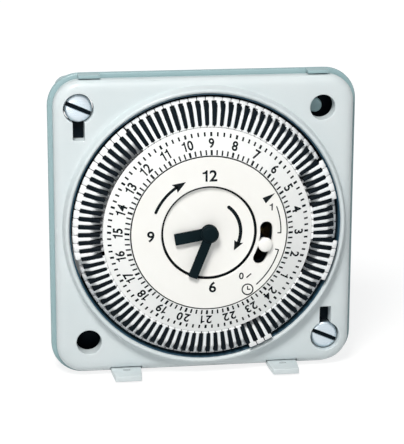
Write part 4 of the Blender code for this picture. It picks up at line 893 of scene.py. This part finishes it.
class RingOperator(bpy.types.Operator):
    """Build the numeral ring, a cone spun about the dial's axis, with its printed hours and quarter-hour marks"""

    bl_idname = "timeswitch.numeral_ring"
    bl_label = "Numeral ring"

    def execute(self, context):
        sizes = in_mm(context.scene.time_switch_dial)
        outer, inner, edge = sizes.ring_radius, sizes.ring_inner, sizes.ring_edge
        radii = np.linspace(inner + 0.12, outer - 0.15, 8)
        cone = np.stack([radii, cone_level(sizes, radii)], axis=1)
        thick, foot = 1.3, outer - 1.3
        inside = cone_level(sizes, inner)
        rim = [(outer + 0.1, edge - 0.03), (outer + 0.15, edge - 0.1), (outer + 0.1, edge - 0.27),
               (outer, edge - 0.35), (outer - 0.65, edge - 1.0), (foot, cone_level(sizes, foot) - thick),
               (inner, inside - thick), (inner, inside - 0.12)]
        ring = Shape(spun(np.concatenate([cone, rim]), 240))
        piece("numeral_cone", ring, "ring_white", "numeral_ring", "dial")
        marks = Shape(*(self.ticks(sizes, *row) for row in TICKS))
        for hour in range(1, HOURS + 1):
            glyph, faces = lettering(str(hour), sizes.numeral_height, NUMERAL_NARROW, 2 * INK, NUMERAL_WEIGHT)
            flat = spokes(sizes.numeral_radius + glyph[:, 1], glyph[:, 0], DIAL_START - hour * HOUR_STEP)
            level = cone_level(sizes, np.linalg.norm(flat, axis=-1))
            marks.add((place(flat, level + glyph[:, 2]), faces))
        piece("numeral_print", marks, "print_ink", "numeral_ring", "dial", stands=False)
        return {"FINISHED"}

    @staticmethod
    def ticks(sizes, low, high, at_hours, between):
        """Short radial bars of ink: each is a box from two radii, a half width and the cone's level under it."""
        quarter = np.arange(TAPPETS)
        half = np.where(quarter % (TAPPETS // HOURS) == 0, at_hours, between)
        radius = np.array([low, low, high, high])
        flat = spokes(radius, half[:, None] * [-1, 1, 1, -1], DIAL_START - quarter * PITCH)
        level = cone_level(sizes, radius)
        box = np.concatenate([place(flat, level - INK), place(flat, level + INK)], axis=1)
        return box, repeated(tube(2, 4), 8, TAPPETS)


# first and last quarter hour of each group, and whether it is on
GROUPS = (
    (6, 10, True), (11, 15, False), (16, 20, True), (21, 25, False), (26, 30, False), (31, 35, False),
    (36, 40, False), (41, 46, False), (47, 51, True), (52, 57, True), (58, 63, True), (64, 68, False),
    (69, 73, False), (74, 78, False), (79, 83, False), (84, 89, False), (90, 92, True), (93, 96, False),
    (97, 101, False),
)
RIB_INNER, RIB_OUTER, RIB_MIDDLE, RIB_FLOOR, RIB_TOP, RIB_SLOPE = 24.95, 29.85, 27, 6.0, 11.34, 0.2


class TappetOperator(bpy.types.Operator):
    """Build the quarter-hour tappets, group by group, and the black ribs of the carrier between them"""

    bl_idname = "timeswitch.tappets"
    bl_label = "Tappets"

    def execute(self, context):
        sizes = in_mm(context.scene.time_switch_dial)
        front = in_mm(context.scene.time_switch_front)
        for number, (first, last, on) in enumerate(GROUPS, 1):
            turn = DIAL_START - np.arange(first, last + 1) * PITCH
            rock = sizes.tappet_off - (sizes.tappet_swing if on else 0.0)
            swing = sizes.tappet_swing if on else -sizes.tappet_swing
            group = Shape(self.fingers(sizes, turn, rock, swing))
            node = f"tappets_{number:02d}"
            piece(f"tappet_set_{number:02d}", group, "tappet_white", node, node, sharp=FINGER_SHARP)
        # Painted shade: a dark blue ring lines the collar's inner wall so that the gap round the tappets reads
        # shaded.
        inner, outer, foot, top = front.opening - 0.3, front.opening - 0.01, front.plate_back + 1.1, front.collar_top
        shade_ring = [(inner, foot), (outer, foot), (outer, top - 0.54), (inner + 0.15, top - 0.45), (inner, top - 0.6)]
        piece("opening_liner", Shape(spun(shade_ring, 192)), "lining_blue", "front_plate", stands=False)
        ribs = Shape(self.ribs())
        piece("tappet_ribs", ribs, "black_moulding", "tappet_carrier", "dial", stands=False, sharp=FINGER_SHARP)
        return {"FINISHED"}

    @staticmethod
    def fingers(sizes, turn, rock, swing):
        """Rocking fingers as grids of length and girth: radius = pivot + u cos(rock) + v sin(rock) and
        level = pivot + v cos(rock) - u sin(rock), where u runs outward and v forward, and the width grows to a head.
        A set rocks about one axis, so a finger off its middle drifts sideways: each is set over by half of that, the
        sine of its angle from the middle times half of the way that the swing takes it outward."""
        inner, outer = sizes.tappet_inner, sizes.tappet_outer
        tail, tip = [-inner, 0.1 - inner, 0.29 - inner, 0.36 - inner], [outer + 0.2, outer + 0.3]
        u = np.array(tail + [-0.3, 0.0, 0.3, 1.7, 2.5, 2.62] + tip)
        half = np.array([0.6, 0.7, 0.7, 0.34, 0.355, 0.36, 0.365, 0.385, 0.4, 0.88, 0.91, 0.82])
        head = 1.5 - np.abs(u) * np.where(u < 0, 0.7 / inner, 1.4 / outer)
        head -= np.array([0.12, 0, 0, 0, 0, 0.03, 0, 0, 0, 0, 0, 0.12])
        foot = np.interp(u, [-inner, 0.0, 1.7, outer], [-0.7, -1.3, -0.7, -0.7])
        ease = 0.08
        side = np.stack([-half, -half, ease - half, half - ease, half, half], axis=1)
        v = np.stack([foot, head - ease, head, head, head - ease, foot], axis=1)
        outward = u[:, None] * math.cos(rock) + v * math.sin(rock)
        forward = v * math.cos(rock) - u[:, None] * math.sin(rock)
        drift = 0.5 * (outward * (math.cos(swing) - 1) + forward * math.sin(swing))
        side = side + np.sin(turn - turn.mean())[:, None, None] * drift
        points = place(spokes(sizes.pivot_radius + outward, side, turn), sizes.pivot_level + forward)
        return points, repeated(tube(*v.shape), v.size, len(turn))

    @staticmethod
    def ribs():
        """Ribs between the tappets: bars that widen outward, carried from the carrier's floor to a top that slopes
        outward, with its edge rounded. Their outer ends lean back toward the floor, clear of the tappets' heads."""
        turn = DIAL_TURN + (np.arange(TAPPETS) + 0.5) * PITCH
        ends = np.array([RIB_INNER, RIB_INNER + 0.1, RIB_OUTER - 0.1, RIB_OUTER])
        radius = np.concatenate([ends, ends[::-1]])
        wide = np.array([-0.3, -0.375, -0.49, -0.4, 0.4, 0.49, 0.375, 0.3])
        top = RIB_TOP - RIB_SLOPE * (radius - RIB_INNER)
        shrink = np.array([0.0, 0.0, 0.04, 0.1])[:, None]
        lean = np.array([0.5, 0.0, 0.0, 0.0])[:, None] * (radius > RIB_MIDDLE)
        along = radius - lean + shrink * np.where(radius < RIB_MIDDLE, 1, -1)
        level = np.stack([np.full(8, RIB_FLOOR), top - 0.1, top - 0.04, top])
        points = place(spokes(along, wide - shrink * np.sign(wide), turn), level)
        return points, repeated(tube(*level.shape), level.size, TAPPETS)


# ---------------------------------------------------------------- clock face


OVERRIDE_RADIUS, OVERRIDE_ANGLE, SLOT_HALF, POST_GAP = 13.3, math.radians(103), 1.45, 0.3
ARM_RADIUS, ARM_HOLE, ARM_THICK, ARM_BEHIND, PIN_SHARE, PIN_LENGTH = 5.9, 3.5, 0.8, 1.0, 0.8, 4.3
SLOT_ENDS = (math.radians(86), math.radians(118.4))
HUB_RADIUS, HUB_HOLE, HAND_THICK = 2.05, 1.05, 0.6
HOUR_REACH, HOUR_WIDTH, HOUR_ANGLE = 8.1, 2.7, math.radians(260.7)
MINUTE_REACH, MINUTE_WIDTH, MINUTE_ANGLE = 10.9, 2.2, math.radians(201.6)
DISC_HOLE, DISC_THICK, FACE_THICK, FACE_GAP = 1.9, 0.7, 1.0, 0.2
LINE = 0.13
FIGURE_NARROW, FIGURE_WEIGHT = 1.05, 0.022
# text, height, place
FIGURES = (("12", 2.65, (0.04, 13.62)), ("9", 2.6, (-13.56, -0.29)), ("6", 2.6, (0.77, -12.85)),
           ("1", 1.65, (14.3, 5.83)), ("0", 1.65, (7.5, -10.45)))
TRIANGLE = np.array([(12.25, 8.02), (15.15, 9.07), (13.03, 6.71)])
# radius, start and end in degrees, angle and inner and outer radius of the short stroke across one end
SCALES = ((16.64, 69.4, 91.4, 91.4, 15.85, 16.7), (16.75, 105.5, 138.5, 105.5, 15.9, 16.8))
CLOCK_AT, CLOCK_OUTER, CLOCK_INNER = np.array((8.98, -13.74)), 1.4, 1.12


class Marks(Shape):
    """Printed marks: outlines pressed through the face at one level by the thickness of the ink."""

    def __init__(self, level):
        super().__init__()
        self.level = level

    def ink(self, outline):
        self.add(prism(outline, self.level - INK, self.level + INK))

    def band(self, radius, half, start, end):
        """A stroke along a circle, between clock angles in degrees."""
        self.ink(arc_band(radius, half, math.radians(start), math.radians(end)))

    def stroke(self, start, end, half=LINE):
        """A straight stroke between two points."""
        start, end = np.array(start, float), np.array(end, float)
        along = (end - start) / np.linalg.norm(end - start)
        side = np.array([along[1], -along[0]]) * half
        self.ink(np.array([start + side, end + side, end - side, start - side]))

    def arrow(self, radius, half, start, end, head, wide):
        """A curved arrow that turns clockwise: a stroke along a circle and a pointed head at its end."""
        self.band(radius, half, start, end - math.degrees(0.8 * head / radius))
        root = math.radians(end) - head / radius
        self.ink(np.array([polar(radius + wide, root), polar(radius, math.radians(end)), polar(radius - wide, root),
                           polar(radius, root + 0.15 * head / radius)]))


class FaceOperator(bpy.types.Operator):
    """Build the fixed centre dial and recessed disc, spun about the axis, and print their marks"""

    bl_idname = "timeswitch.clock_face"
    bl_label = "Clock face"

    def execute(self, context):
        sizes = in_mm(context.scene.time_switch_dial)
        face, low = face_levels(sizes)
        outer, disc = sizes.face_radius, sizes.disc_radius
        hole, back, e = disc + FACE_GAP, face - FACE_THICK, 0.1
        ring = [(hole, face - e), (hole + e, face), (hole + 2 * e, face), (hole + 4 * e, face), (outer - 4 * e, face),
                (outer - 2 * e, face), (outer - e, face), (outer, face - e), (outer, back + e), (outer - e, back),
                (hole + e, back), (hole, back + e)]
        slot = arc_band(OVERRIDE_RADIUS, SLOT_HALF, *SLOT_ENDS)
        slot = pressed(slot, [(0, back - 1), (0, face - e), (e, face), (e, face + 1)])
        piece("face_ring", Shape(spun(ring, 192)), "dial_white", "centre_dial", tools=[cut(slot)])
        under, bore = low - DISC_THICK, DISC_HOLE
        plate = [(bore, low), (bore + 0.1, low), (bore + 0.3, low), (disc - 0.5, low), (disc - 0.24, low),
                 (disc - 0.12, low), (disc, low - 0.12), (disc, under + 0.1), (disc - 0.1, under), (bore, under)]
        piece("face_disc", Shape(spun(plate, 160)), "dial_white", "centre_disc")
        piece("face_print", self.face_marks(face, outer), "print_ink", "centre_dial", stands=False)
        marks = Marks(low)
        # Painted shade: a dark ring printed round the disc's edge, widened and run over the edge, stands in for the
        # shade of the gap round the recess.
        rim = [(disc - 0.39, low - INK), (disc - 0.39, low + INK), (disc - 0.13, low + INK), (disc, low - 0.1),
               (disc - 0.05, low - 0.12), (disc - 0.15, low - INK)]
        marks.add(spun(rim, 160))
        marks.arrow(7.42, 0.4, 38.5, 127.7, 2.4, 1.1)
        piece("disc_print", marks, "print_ink", "centre_disc", stands=False)
        return {"FINISHED"}

    @staticmethod
    def face_marks(face, outer):
        """The centre dial's figures, arrow, seam and scales, and the small clock's sign."""
        marks = Marks(face)
        for text, height, at in FIGURES:
            glyph, faces = lettering(text, height, FIGURE_NARROW, 2 * INK, FIGURE_WEIGHT)
            marks.add((place(glyph[:, :2] + at, face + glyph[:, 2]), faces))
        marks.arrow(13.5, 0.33, 293.5, 336.1, 3.0, 1.15)
        near, far, high, deep = outer - 0.1, outer + 0.2, face - 0.12, face - 0.5
        marks.add(spun([(near, deep), (far, deep), (far, high), (near, high)], 192))
        marks.ink(TRIANGLE)
        for radius, start, end, across, inner, beyond in SCALES:
            marks.band(radius, LINE, start, end)
            marks.stroke(polar(inner, math.radians(across)), polar(beyond, math.radians(across)))
        marks.stroke((8.7, -10.9), (9.8, -9.95), 0.14)
        rows = [(CLOCK_OUTER, -INK), (CLOCK_OUTER, INK), (CLOCK_INNER, INK), (CLOCK_INNER, -INK)]
        marks.add(loft([place(circle(radius, 40, *CLOCK_AT), face + level) for radius, level in rows], closed=True))
        marks.stroke(CLOCK_AT + (0, -0.12), CLOCK_AT + (0, 0.8))
        marks.stroke(CLOCK_AT + (-0.12, 0), CLOCK_AT + (0.65, 0))
        return marks


class HandsOperator(bpy.types.Operator):
    """Build the two hands: square-ended bars with round hubs, pressed forward with eased edges"""

    bl_idname = "timeswitch.hands"
    bl_label = "Hands"

    def execute(self, context):
        face, low = face_levels(in_mm(context.scene.time_switch_dial))
        hole = prism(circle(HUB_HOLE, 32), low - 1, face + 2)
        hour = Shape(self.bar(HOUR_REACH, HOUR_WIDTH, HOUR_ANGLE, low + 0.5))
        piece("hand_short", hour, "hand_paint", "hour_hand", "hour", [cut(hole)])
        top, base = face + 1.6, face + 0.8
        cap = [(0, top), (1.0, top - 0.02), (1.45, top - 0.08), (1.7, top - 0.2), (1.84, top - 0.42), (1.86, base),
               (0, base)]
        minute = Shape(self.bar(MINUTE_REACH, MINUTE_WIDTH, MINUTE_ANGLE, face + 0.5), spun(cap, 48))
        piece("hand_long", minute, "hand_paint", "minute_hand", "minute")
        return {"FINISHED"}

    @staticmethod
    def bar(reach, width, turn, low):
        """A hand as one outline, the round of its hub and its bar's end, pressed to a plate at the level given."""
        half, ease = width / 2, 0.12
        end, back = polar(reach, turn), polar(reach - ease, turn)
        wide, narrow = polar(half, turn + QUARTER), polar(half - ease, turn + QUARTER)
        tip = [back - wide, end - narrow, end + narrow, back + wide]
        return slab(np.concatenate([hub_arc(HUB_RADIUS, half, turn), tip]), low, low + HAND_THICK, 0.1)


class KnobOperator(bpy.types.Operator):
    """Build the override lever: a domed knob spun about its own axis, on a flat arm behind the dial"""

    bl_idname = "timeswitch.override"
    bl_label = "Override lever"

    def execute(self, context):
        face, low = face_levels(in_mm(context.scene.time_switch_dial))
        front, node = low - ARM_BEHIND, "override_lever"
        x, z = polar(OVERRIDE_RADIUS, OVERRIDE_ANGLE)
        post = SLOT_HALF - POST_GAP
        ring = hub_arc(ARM_RADIUS, post, OVERRIDE_ANGLE)
        tip = polar(post, np.linspace(OVERRIDE_ANGLE - QUARTER, OVERRIDE_ANGLE + QUARTER, 12)) + (x, z)
        arm = Shape(slab(np.concatenate([ring, tip]), front - ARM_THICK, front, 0.1))
        thick, start, end = post * PIN_SHARE, front - 0.2, front - PIN_LENGTH
        pin = spun([(0, start), (thick, start), (thick, end), (0, end)], 24, x, z)
        tools = [cut(prism(circle(ARM_HOLE, 40), front - 2, front + 1)), join(pin)]
        piece("override_arm", arm, "black_moulding", node, node, tools)
        top, base, root = face + 1.3, face + 0.3, front - 0.1
        dome = [(0, top), (0.5, top - 0.015), (0.95, top - 0.07), (1.3, top - 0.18), (1.55, top - 0.36),
                (1.68, top - 0.62), (1.7, top - 0.85), (1.62, base), (1.1, base), (1.1, root), (0, root)]
        piece("override_knob", Shape(spun(dome, 48, x, z)), "dial_white", node, node, stands=False)
        return {"FINISHED"}


# ---------------------------------------------------------------- rear


TERMINALS = (("motor_terminal_1", -18.0), ("motor_terminal_2", -8.0), ("switch_terminal_1", 2.0),
             ("switch_terminal_2", 11.0), ("switch_terminal_3", 20.0))
TERMINAL_Z, COVER_FRONT, COVER_BACK = -17.0, -29.8, -31.8
BLADE_HALF, BLADE_TIP, BLADE_THICK, BLADE_LENGTH, BLADE_TAPER = 3.15, 2.2, 0.8, 8.0, 1.6
DETENT_RADIUS, DETENT_FROM_END = 0.85, 3.6
BLADE_GAP = 0.3
BARRIER_HALF, BARRIER_REACH, BARRIER_DEPTH = 0.6, 4.5, 3.2
MARK_HEIGHT, MARK_NARROW, MARK_THICK, MARK_WEIGHT, MARK_ABOVE, MARK_PROUD = 2.6, 0.9, 0.5, 0.012, 7.2, 0.15
COVER_SCREW_RADIUS, COVER_SCREW_TURN = 27.2, 1.7


class RearOperator(bpy.types.Operator):
    """Build the rear housing, its cover with barriers and marks, and the push-on terminals"""

    bl_idname = "timeswitch.rear"
    bl_label = "Rear case and terminals"

    def execute(self, context):
        narrow = eased(octagon(REAR_HALF, REAR_CHAMFER), 1.6, 5)
        piece("housing_shell", Shape(self.housing(narrow)), "rear_plastic", "rear_housing")
        slots, half, wide = [], BLADE_THICK / 2 + BLADE_GAP, BLADE_HALF + BLADE_GAP
        for _, x in TERMINALS:
            slot = rectangle(x - wide, TERMINAL_Z - half, x + wide, TERMINAL_Z + half)
            steps = [(0.3, COVER_BACK - 1), (0.3, COVER_BACK), (0, COVER_BACK + 0.3), (0, COVER_FRONT + 1)]
            slots.append(cut(pressed(slot, steps)))
        cover = Shape(slab(narrow, COVER_BACK, COVER_FRONT, 0.45))
        piece("cover_plate", cover, "rear_plastic", "rear_cover", tools=slots)
        raised = Shape()
        places = np.array([x for _, x in TERMINALS])
        for x in (places[:-1] + places[1:]) / 2:
            low, high = TERMINAL_Z - BARRIER_REACH, TERMINAL_Z + BARRIER_REACH
            wall = rectangle(x - BARRIER_HALF, low, x + BARRIER_HALF, high)
            raised.add(slab(eased(wall, 0.4), COVER_BACK - BARRIER_DEPTH, COVER_BACK + 0.2, 0.3))
        for number, x in enumerate(places, 1):
            glyph, faces = lettering(str(number), MARK_HEIGHT, MARK_NARROW, MARK_THICK, MARK_WEIGHT)
            flat = glyph[:, :2] * (-1, 1) + (x, TERMINAL_Z + MARK_ABOVE)
            raised.add((place(flat, COVER_BACK - MARK_PROUD - glyph[:, 2]), faces))
        piece("cover_barriers", raised, "rear_plastic", "rear_cover", stands=False)
        self.screws()
        self.terminals()
        return {"FINISHED"}

    @staticmethod
    def housing(narrow):
        """The stepped wall: octagons carried up the wide part's outside, over its rim, down its inside to the step,
        down the narrow part's bore and up its outside again."""
        thin = HOUSING_WALL
        outer = eased(octagon(HOUSING_HALF, HOUSING_CHAMFER), 1.6, 5)
        inner = eased(octagon(HOUSING_HALF - thin, HOUSING_CHAMFER - 0.66), 1.2, 5)
        bore = eased(octagon(REAR_HALF - thin, REAR_CHAMFER - 0.66), 1.2, 5)
        front, back, step, e = -0.5, COVER_FRONT + 0.3, STEP_LEVEL - thin, 0.3
        rings = [(outer, 0, step + e), (outer, 0, front - e), (outer, -e, front), (inner, e, front),
                 (inner, 0, front - e), (inner, 0, STEP_LEVEL), (bore, 0, STEP_LEVEL), (bore, 0, back + e),
                 (bore, e, back), (narrow, -e, back), (narrow, 0, back + e), (narrow, 0, step - e), (narrow, e, step),
                 (outer, -e, step)]
        return loft([place(grown(outline, growth), level) for outline, growth, level in rings], closed=True)

    @staticmethod
    def screws():
        """Four small domed screws that hold the cover, each with a driving slot."""
        shape, slots = Shape(), []
        low, base = COVER_BACK - 0.9, COVER_BACK + 0.2
        head = [(0, low), (0.9, low + 0.03), (1.5, low + 0.15), (1.85, low + 0.4), (1.95, base), (0, base)]
        for turn in np.radians([45, 135, 225, 315]):
            x, z = polar(COVER_SCREW_RADIUS, turn)
            shape.add(spun(head, 32, x, z))
            bar = turned(rectangle(-3, -0.28, 3, 0.28), COVER_SCREW_TURN * turn, x, z)
            slots.append(cut(prism(bar, low - 1, low + 0.5)))
        piece("cover_screws", shape, "zinc_plate", "rear_cover", tools=slots, stands=False)

    @staticmethod
    def terminals():
        """Push-on tabs: a flat outline with a tapered tip, pressed upward, with its detent hole."""
        root, end, half = COVER_FRONT + 2.5, COVER_BACK - BLADE_LENGTH, BLADE_THICK / 2
        for name, x in TERMINALS:
            left, right, bend = x - BLADE_HALF, x + BLADE_HALF, end + BLADE_TAPER
            outline = [(left, root), (right, root), (right, bend), (x + BLADE_TIP, end), (x - BLADE_TIP, end),
                       (left, bend)]
            blade = Shape(along_z(slab(eased(outline, 0.25, 3), TERMINAL_Z - half, TERMINAL_Z + half, 0.16)))
            hole = along_z(prism(circle(DETENT_RADIUS, 24, x, end + DETENT_FROM_END), TERMINAL_Z - 2, TERMINAL_Z + 2))
            piece(f"tab_{name}", blade, "tin_plate", name, tools=[cut(hole)])


INSIDE = {
    # Painted shade: the movement plate takes the black finish so that the gap round the recessed disc reads dark.
    "black_moulding": ("tappet_carrier", "movement_plate", "blade_block", "contact_block"),
    "zinc_plate": ("minute_arbor", "movement_bridge", "bridge_screw_1", "bridge_screw_2", "bridge_screw_3",
                   "bridge_screw_4", "motor_can"),
    "brass_plate": ("hour_wheel", "motion_wheel", "motor_pinion", "contact_blade"),
    "tappet_white": ("dial_drive_wheel", "follower_lever"),
    "copper_wire": ("motor_coil",),
    "tin_plate": ("break_contact", "make_contact"),
}


class InsideOperator(bpy.types.Operator):
    """Give the movement, motor and switch inside the case their finishes"""

    bl_idname = "timeswitch.inside"
    bl_label = "Movement and switch"

    def execute(self, context):
        for look, names in INSIDE.items():
            for name in names:
                mesh = frame["nodes"][name].data
                mesh.materials.clear()
                mesh.materials.append(finish(look))
        return {"FINISHED"}


# ---------------------------------------------------------------- stage


TARGET = np.array([-0.5, -5.3, 0.5])
SENSOR_WIDTH, CLIP_START, CLIP_END = 36.0, 0.01, 20.0
FLOOR_HALF, FLOOR_BACK, FLOOR_BEND, FLOOR_RISE, FLOOR_GAP = 900.0, 500.0, 200.0, 700.0, 0.05
# distances in metres between which the paper brightens, how bright it is there, and what it sends back of the lamps
PAPER_NEAR, PAPER_FAR, PAPER_DIM, PAPER_BRIGHT, PAPER_DIFFUSE = 0.07, 0.22, 0.84, 0.97, 0.25
PAPER_SPECKS, PAPER_SPECK_SHADE = 14.0, 0.985
# name, place, size, colour, and the setting that holds its power
LAMPS = (("key_lamp", (-105, -285, 335), 150, (1.0, 0.985, 0.96), "key"),
         ("front_lamp", (-120, -400, -80), 260, (0.96, 0.985, 1.0), "fill"))


def grey(value):
    return (value, value, value, 1)


def backdrop_rays(tree):
    """The mask of the rays that see the plain white backdrop: the camera's, reflections and through clear pieces."""
    rays = shader_node(tree, "LightPath").outputs
    seen = rays["Is Camera Ray"]
    for label in ("Is Glossy Ray", "Is Transmission Ray"):
        seen = shader_node(tree, "Math", {0: seen, 1: rays[label]}, operation="MAXIMUM").outputs[0]
    return seen


class StageOperator(bpy.types.Operator):
    """Set the floor, the white surroundings, the lamps and the camera at the photograph's angle"""

    bl_idname = "timeswitch.stage"
    bl_label = "Stage"

    def execute(self, context):
        settings = in_mm(context.scene.time_switch_stage)
        self.floor(settings)
        self.world(settings)
        for name, at, size, tint, power in LAMPS:
            self.lamp(name, np.array(at, float), size, tint, getattr(settings, power))
        self.camera(context.scene, settings)
        context.scene.view_settings.view_transform = "Standard"
        return {"FINISHED"}

    def floor(self, settings):
        """A sheet that runs level under the object and bends up behind it."""
        turn = np.linspace(0, QUARTER, 12)
        bend = np.stack([FLOOR_BACK + FLOOR_BEND * np.sin(turn), FLOOR_BEND * (1 - np.cos(turn))], axis=1)
        path = np.concatenate([[(-FLOOR_HALF, 0.0)], bend, [(FLOOR_BACK + FLOOR_BEND, FLOOR_RISE)]])
        low = CAD_BOX[0][2] / MM - FLOOR_GAP
        points = np.array([(x, y, z + low) for y, z in path for x in (-FLOOR_HALF, FLOOR_HALF)])
        mesh = bpy.data.meshes.new("studio_floor")
        mesh.from_pydata((points * MM).tolist(), [], sheet(len(path), 2))
        mesh.shade_smooth()
        mesh.materials.append(self.paper(np.array(settings.floor)))
        floor = bpy.data.objects.new("studio_floor", mesh)
        bpy.context.scene.collection.objects.link(floor)

    @staticmethod
    def paper(shade):
        """White paper that brightens away from the object for the rays that see the backdrop, and is plain for the
        rest."""
        material = bpy.data.materials.new("studio_paper")
        material.use_nodes = True
        tree = material.node_tree
        tree.nodes.clear()
        specks = spread(tree, object_noise(tree, PAPER_SPECKS, 4.0), 0.3, 0.7)
        specked = blended(tree, specks, (*shade, 1), (*(shade * PAPER_SPECK_SHADE), 1))
        plain = shader_node(tree, "BsdfDiffuse", {"Color": specked})
        # Painted light and shade: the paper's glow is dimmer near the object and brighter away from it, standing in
        # for the lamps' fall-off.
        spot = shader_node(tree, "TexCoord").outputs["Object"]
        away = shader_node(tree, "VectorMath", {0: spot}, operation="LENGTH").outputs["Value"]
        bright = blended(tree, spread(tree, away, PAPER_NEAR, PAPER_FAR), grey(PAPER_DIM), grey(PAPER_BRIGHT))
        white = shader_node(tree, "Emission", {"Color": bright})
        faint = shader_node(tree, "BsdfDiffuse", {"Color": grey(PAPER_DIFFUSE)})
        seen = shader_node(tree, "AddShader", {0: white.outputs[0], 1: faint.outputs[0]})
        mix = shader_node(tree, "MixShader", {0: backdrop_rays(tree), 1: plain.outputs[0], 2: seen.outputs[0]})
        shader_node(tree, "OutputMaterial", {"Surface": mix.outputs[0]})
        return material

    @staticmethod
    def world(settings):
        """White to the camera, in reflections and through clear pieces; a softer, cooler white everywhere else."""
        world = bpy.data.worlds.new("studio_white")
        bpy.context.scene.world = world
        world.use_nodes = True
        tree = world.node_tree
        tree.nodes.clear()
        white = shader_node(tree, "Background", {"Color": grey(1)})
        sky = shader_node(tree, "Background", {"Color": (0.88, 0.96, 1.0, 1), "Strength": settings.sky})
        mix = shader_node(tree, "MixShader", {0: backdrop_rays(tree), 1: sky.outputs[0], 2: white.outputs[0]})
        shader_node(tree, "OutputWorld", {"Surface": mix.outputs[0]})

    def lamp(self, name, at, size, tint, power):
        lamp = bpy.data.lights.new(name, "AREA")
        lamp.shape, lamp.size, lamp.energy, lamp.color = "DISK", size * MM, power, tint
        holder = bpy.data.objects.new(name, lamp)
        bpy.context.scene.collection.objects.link(holder)
        holder.location = at * MM
        holder.rotation_euler = self.looking(at, 0.0)

    @staticmethod
    def looking(back, roll):
        """The rotation of a camera or lamp that looks from the direction given towards the object."""
        back = back / np.linalg.norm(back)
        right = np.cross((0, 0, 1), back)
        right = right / np.linalg.norm(right)
        up = np.cross(back, right)
        c, s = math.cos(roll), math.sin(roll)
        axes = np.stack([right * c + up * s, up * c - right * s, back], axis=1)
        return Matrix(axes.tolist()).to_euler()

    def camera(self, scene, settings):
        yaw, tilt = settings.yaw, settings.tilt
        back = np.array([math.sin(yaw) * math.cos(tilt), -math.cos(yaw) * math.cos(tilt), math.sin(tilt)])
        lens = bpy.data.cameras.new("photo_camera")
        lens.sensor_width = SENSOR_WIDTH
        lens.lens = settings.lens_pixels * SENSOR_WIDTH / max(PHOTO_SIZE)
        lens.clip_start, lens.clip_end = CLIP_START, CLIP_END
        camera = bpy.data.objects.new("photo_camera", lens)
        scene.collection.objects.link(camera)
        camera.location = (TARGET + back * settings.distance) * MM
        camera.rotation_euler = self.looking(back, settings.roll)
        scene.camera = camera


# ---------------------------------------------------------------- add-on


OPERATORS = (FrameOperator, PlateOperator, ClampOperator, RingOperator, TappetOperator, FaceOperator, HandsOperator,
             KnobOperator, RearOperator, InsideOperator, StageOperator)
GROUP_TYPES = (
    ("time_switch_front", FrontSizes), ("time_switch_dial", DialSizes), ("time_switch_colours", FinishColours),
    ("time_switch_stage", StageSettings),
)


class TimeSwitchPanel(bpy.types.Panel):
    """The pieces of the time switch and their settings"""

    bl_idname = "VIEW3D_PT_time_switch"
    bl_label = "Time switch"
    bl_space_type = "VIEW_3D"
    bl_region_type = "UI"
    bl_category = "Time switch"

    def draw(self, context):
        for operator in OPERATORS:
            self.layout.operator(operator.bl_idname)
        for label, group in GROUP_TYPES:
            box = self.layout.box()
            box.label(text=group.__doc__)
            for name in group.__annotations__:
                box.prop(getattr(context.scene, label), name)


def register():
    for label, group in GROUP_TYPES:
        bpy.utils.register_class(group)
        setattr(bpy.types.Scene, label, bpy.props.PointerProperty(type=group))
    for operator in OPERATORS:
        bpy.utils.register_class(operator)
    bpy.utils.register_class(TimeSwitchPanel)


def unregister():
    bpy.utils.unregister_class(TimeSwitchPanel)
    for operator in reversed(OPERATORS):
        bpy.utils.unregister_class(operator)
    for label, group in reversed(GROUP_TYPES):
        delattr(bpy.types.Scene, label)
        bpy.utils.unregister_class(group)


def main():
    register()
    for operator in OPERATORS:
        family, name = operator.bl_idname.split(".")
        getattr(getattr(bpy.ops, family), name)()


if __name__ == "__main__":
    main()
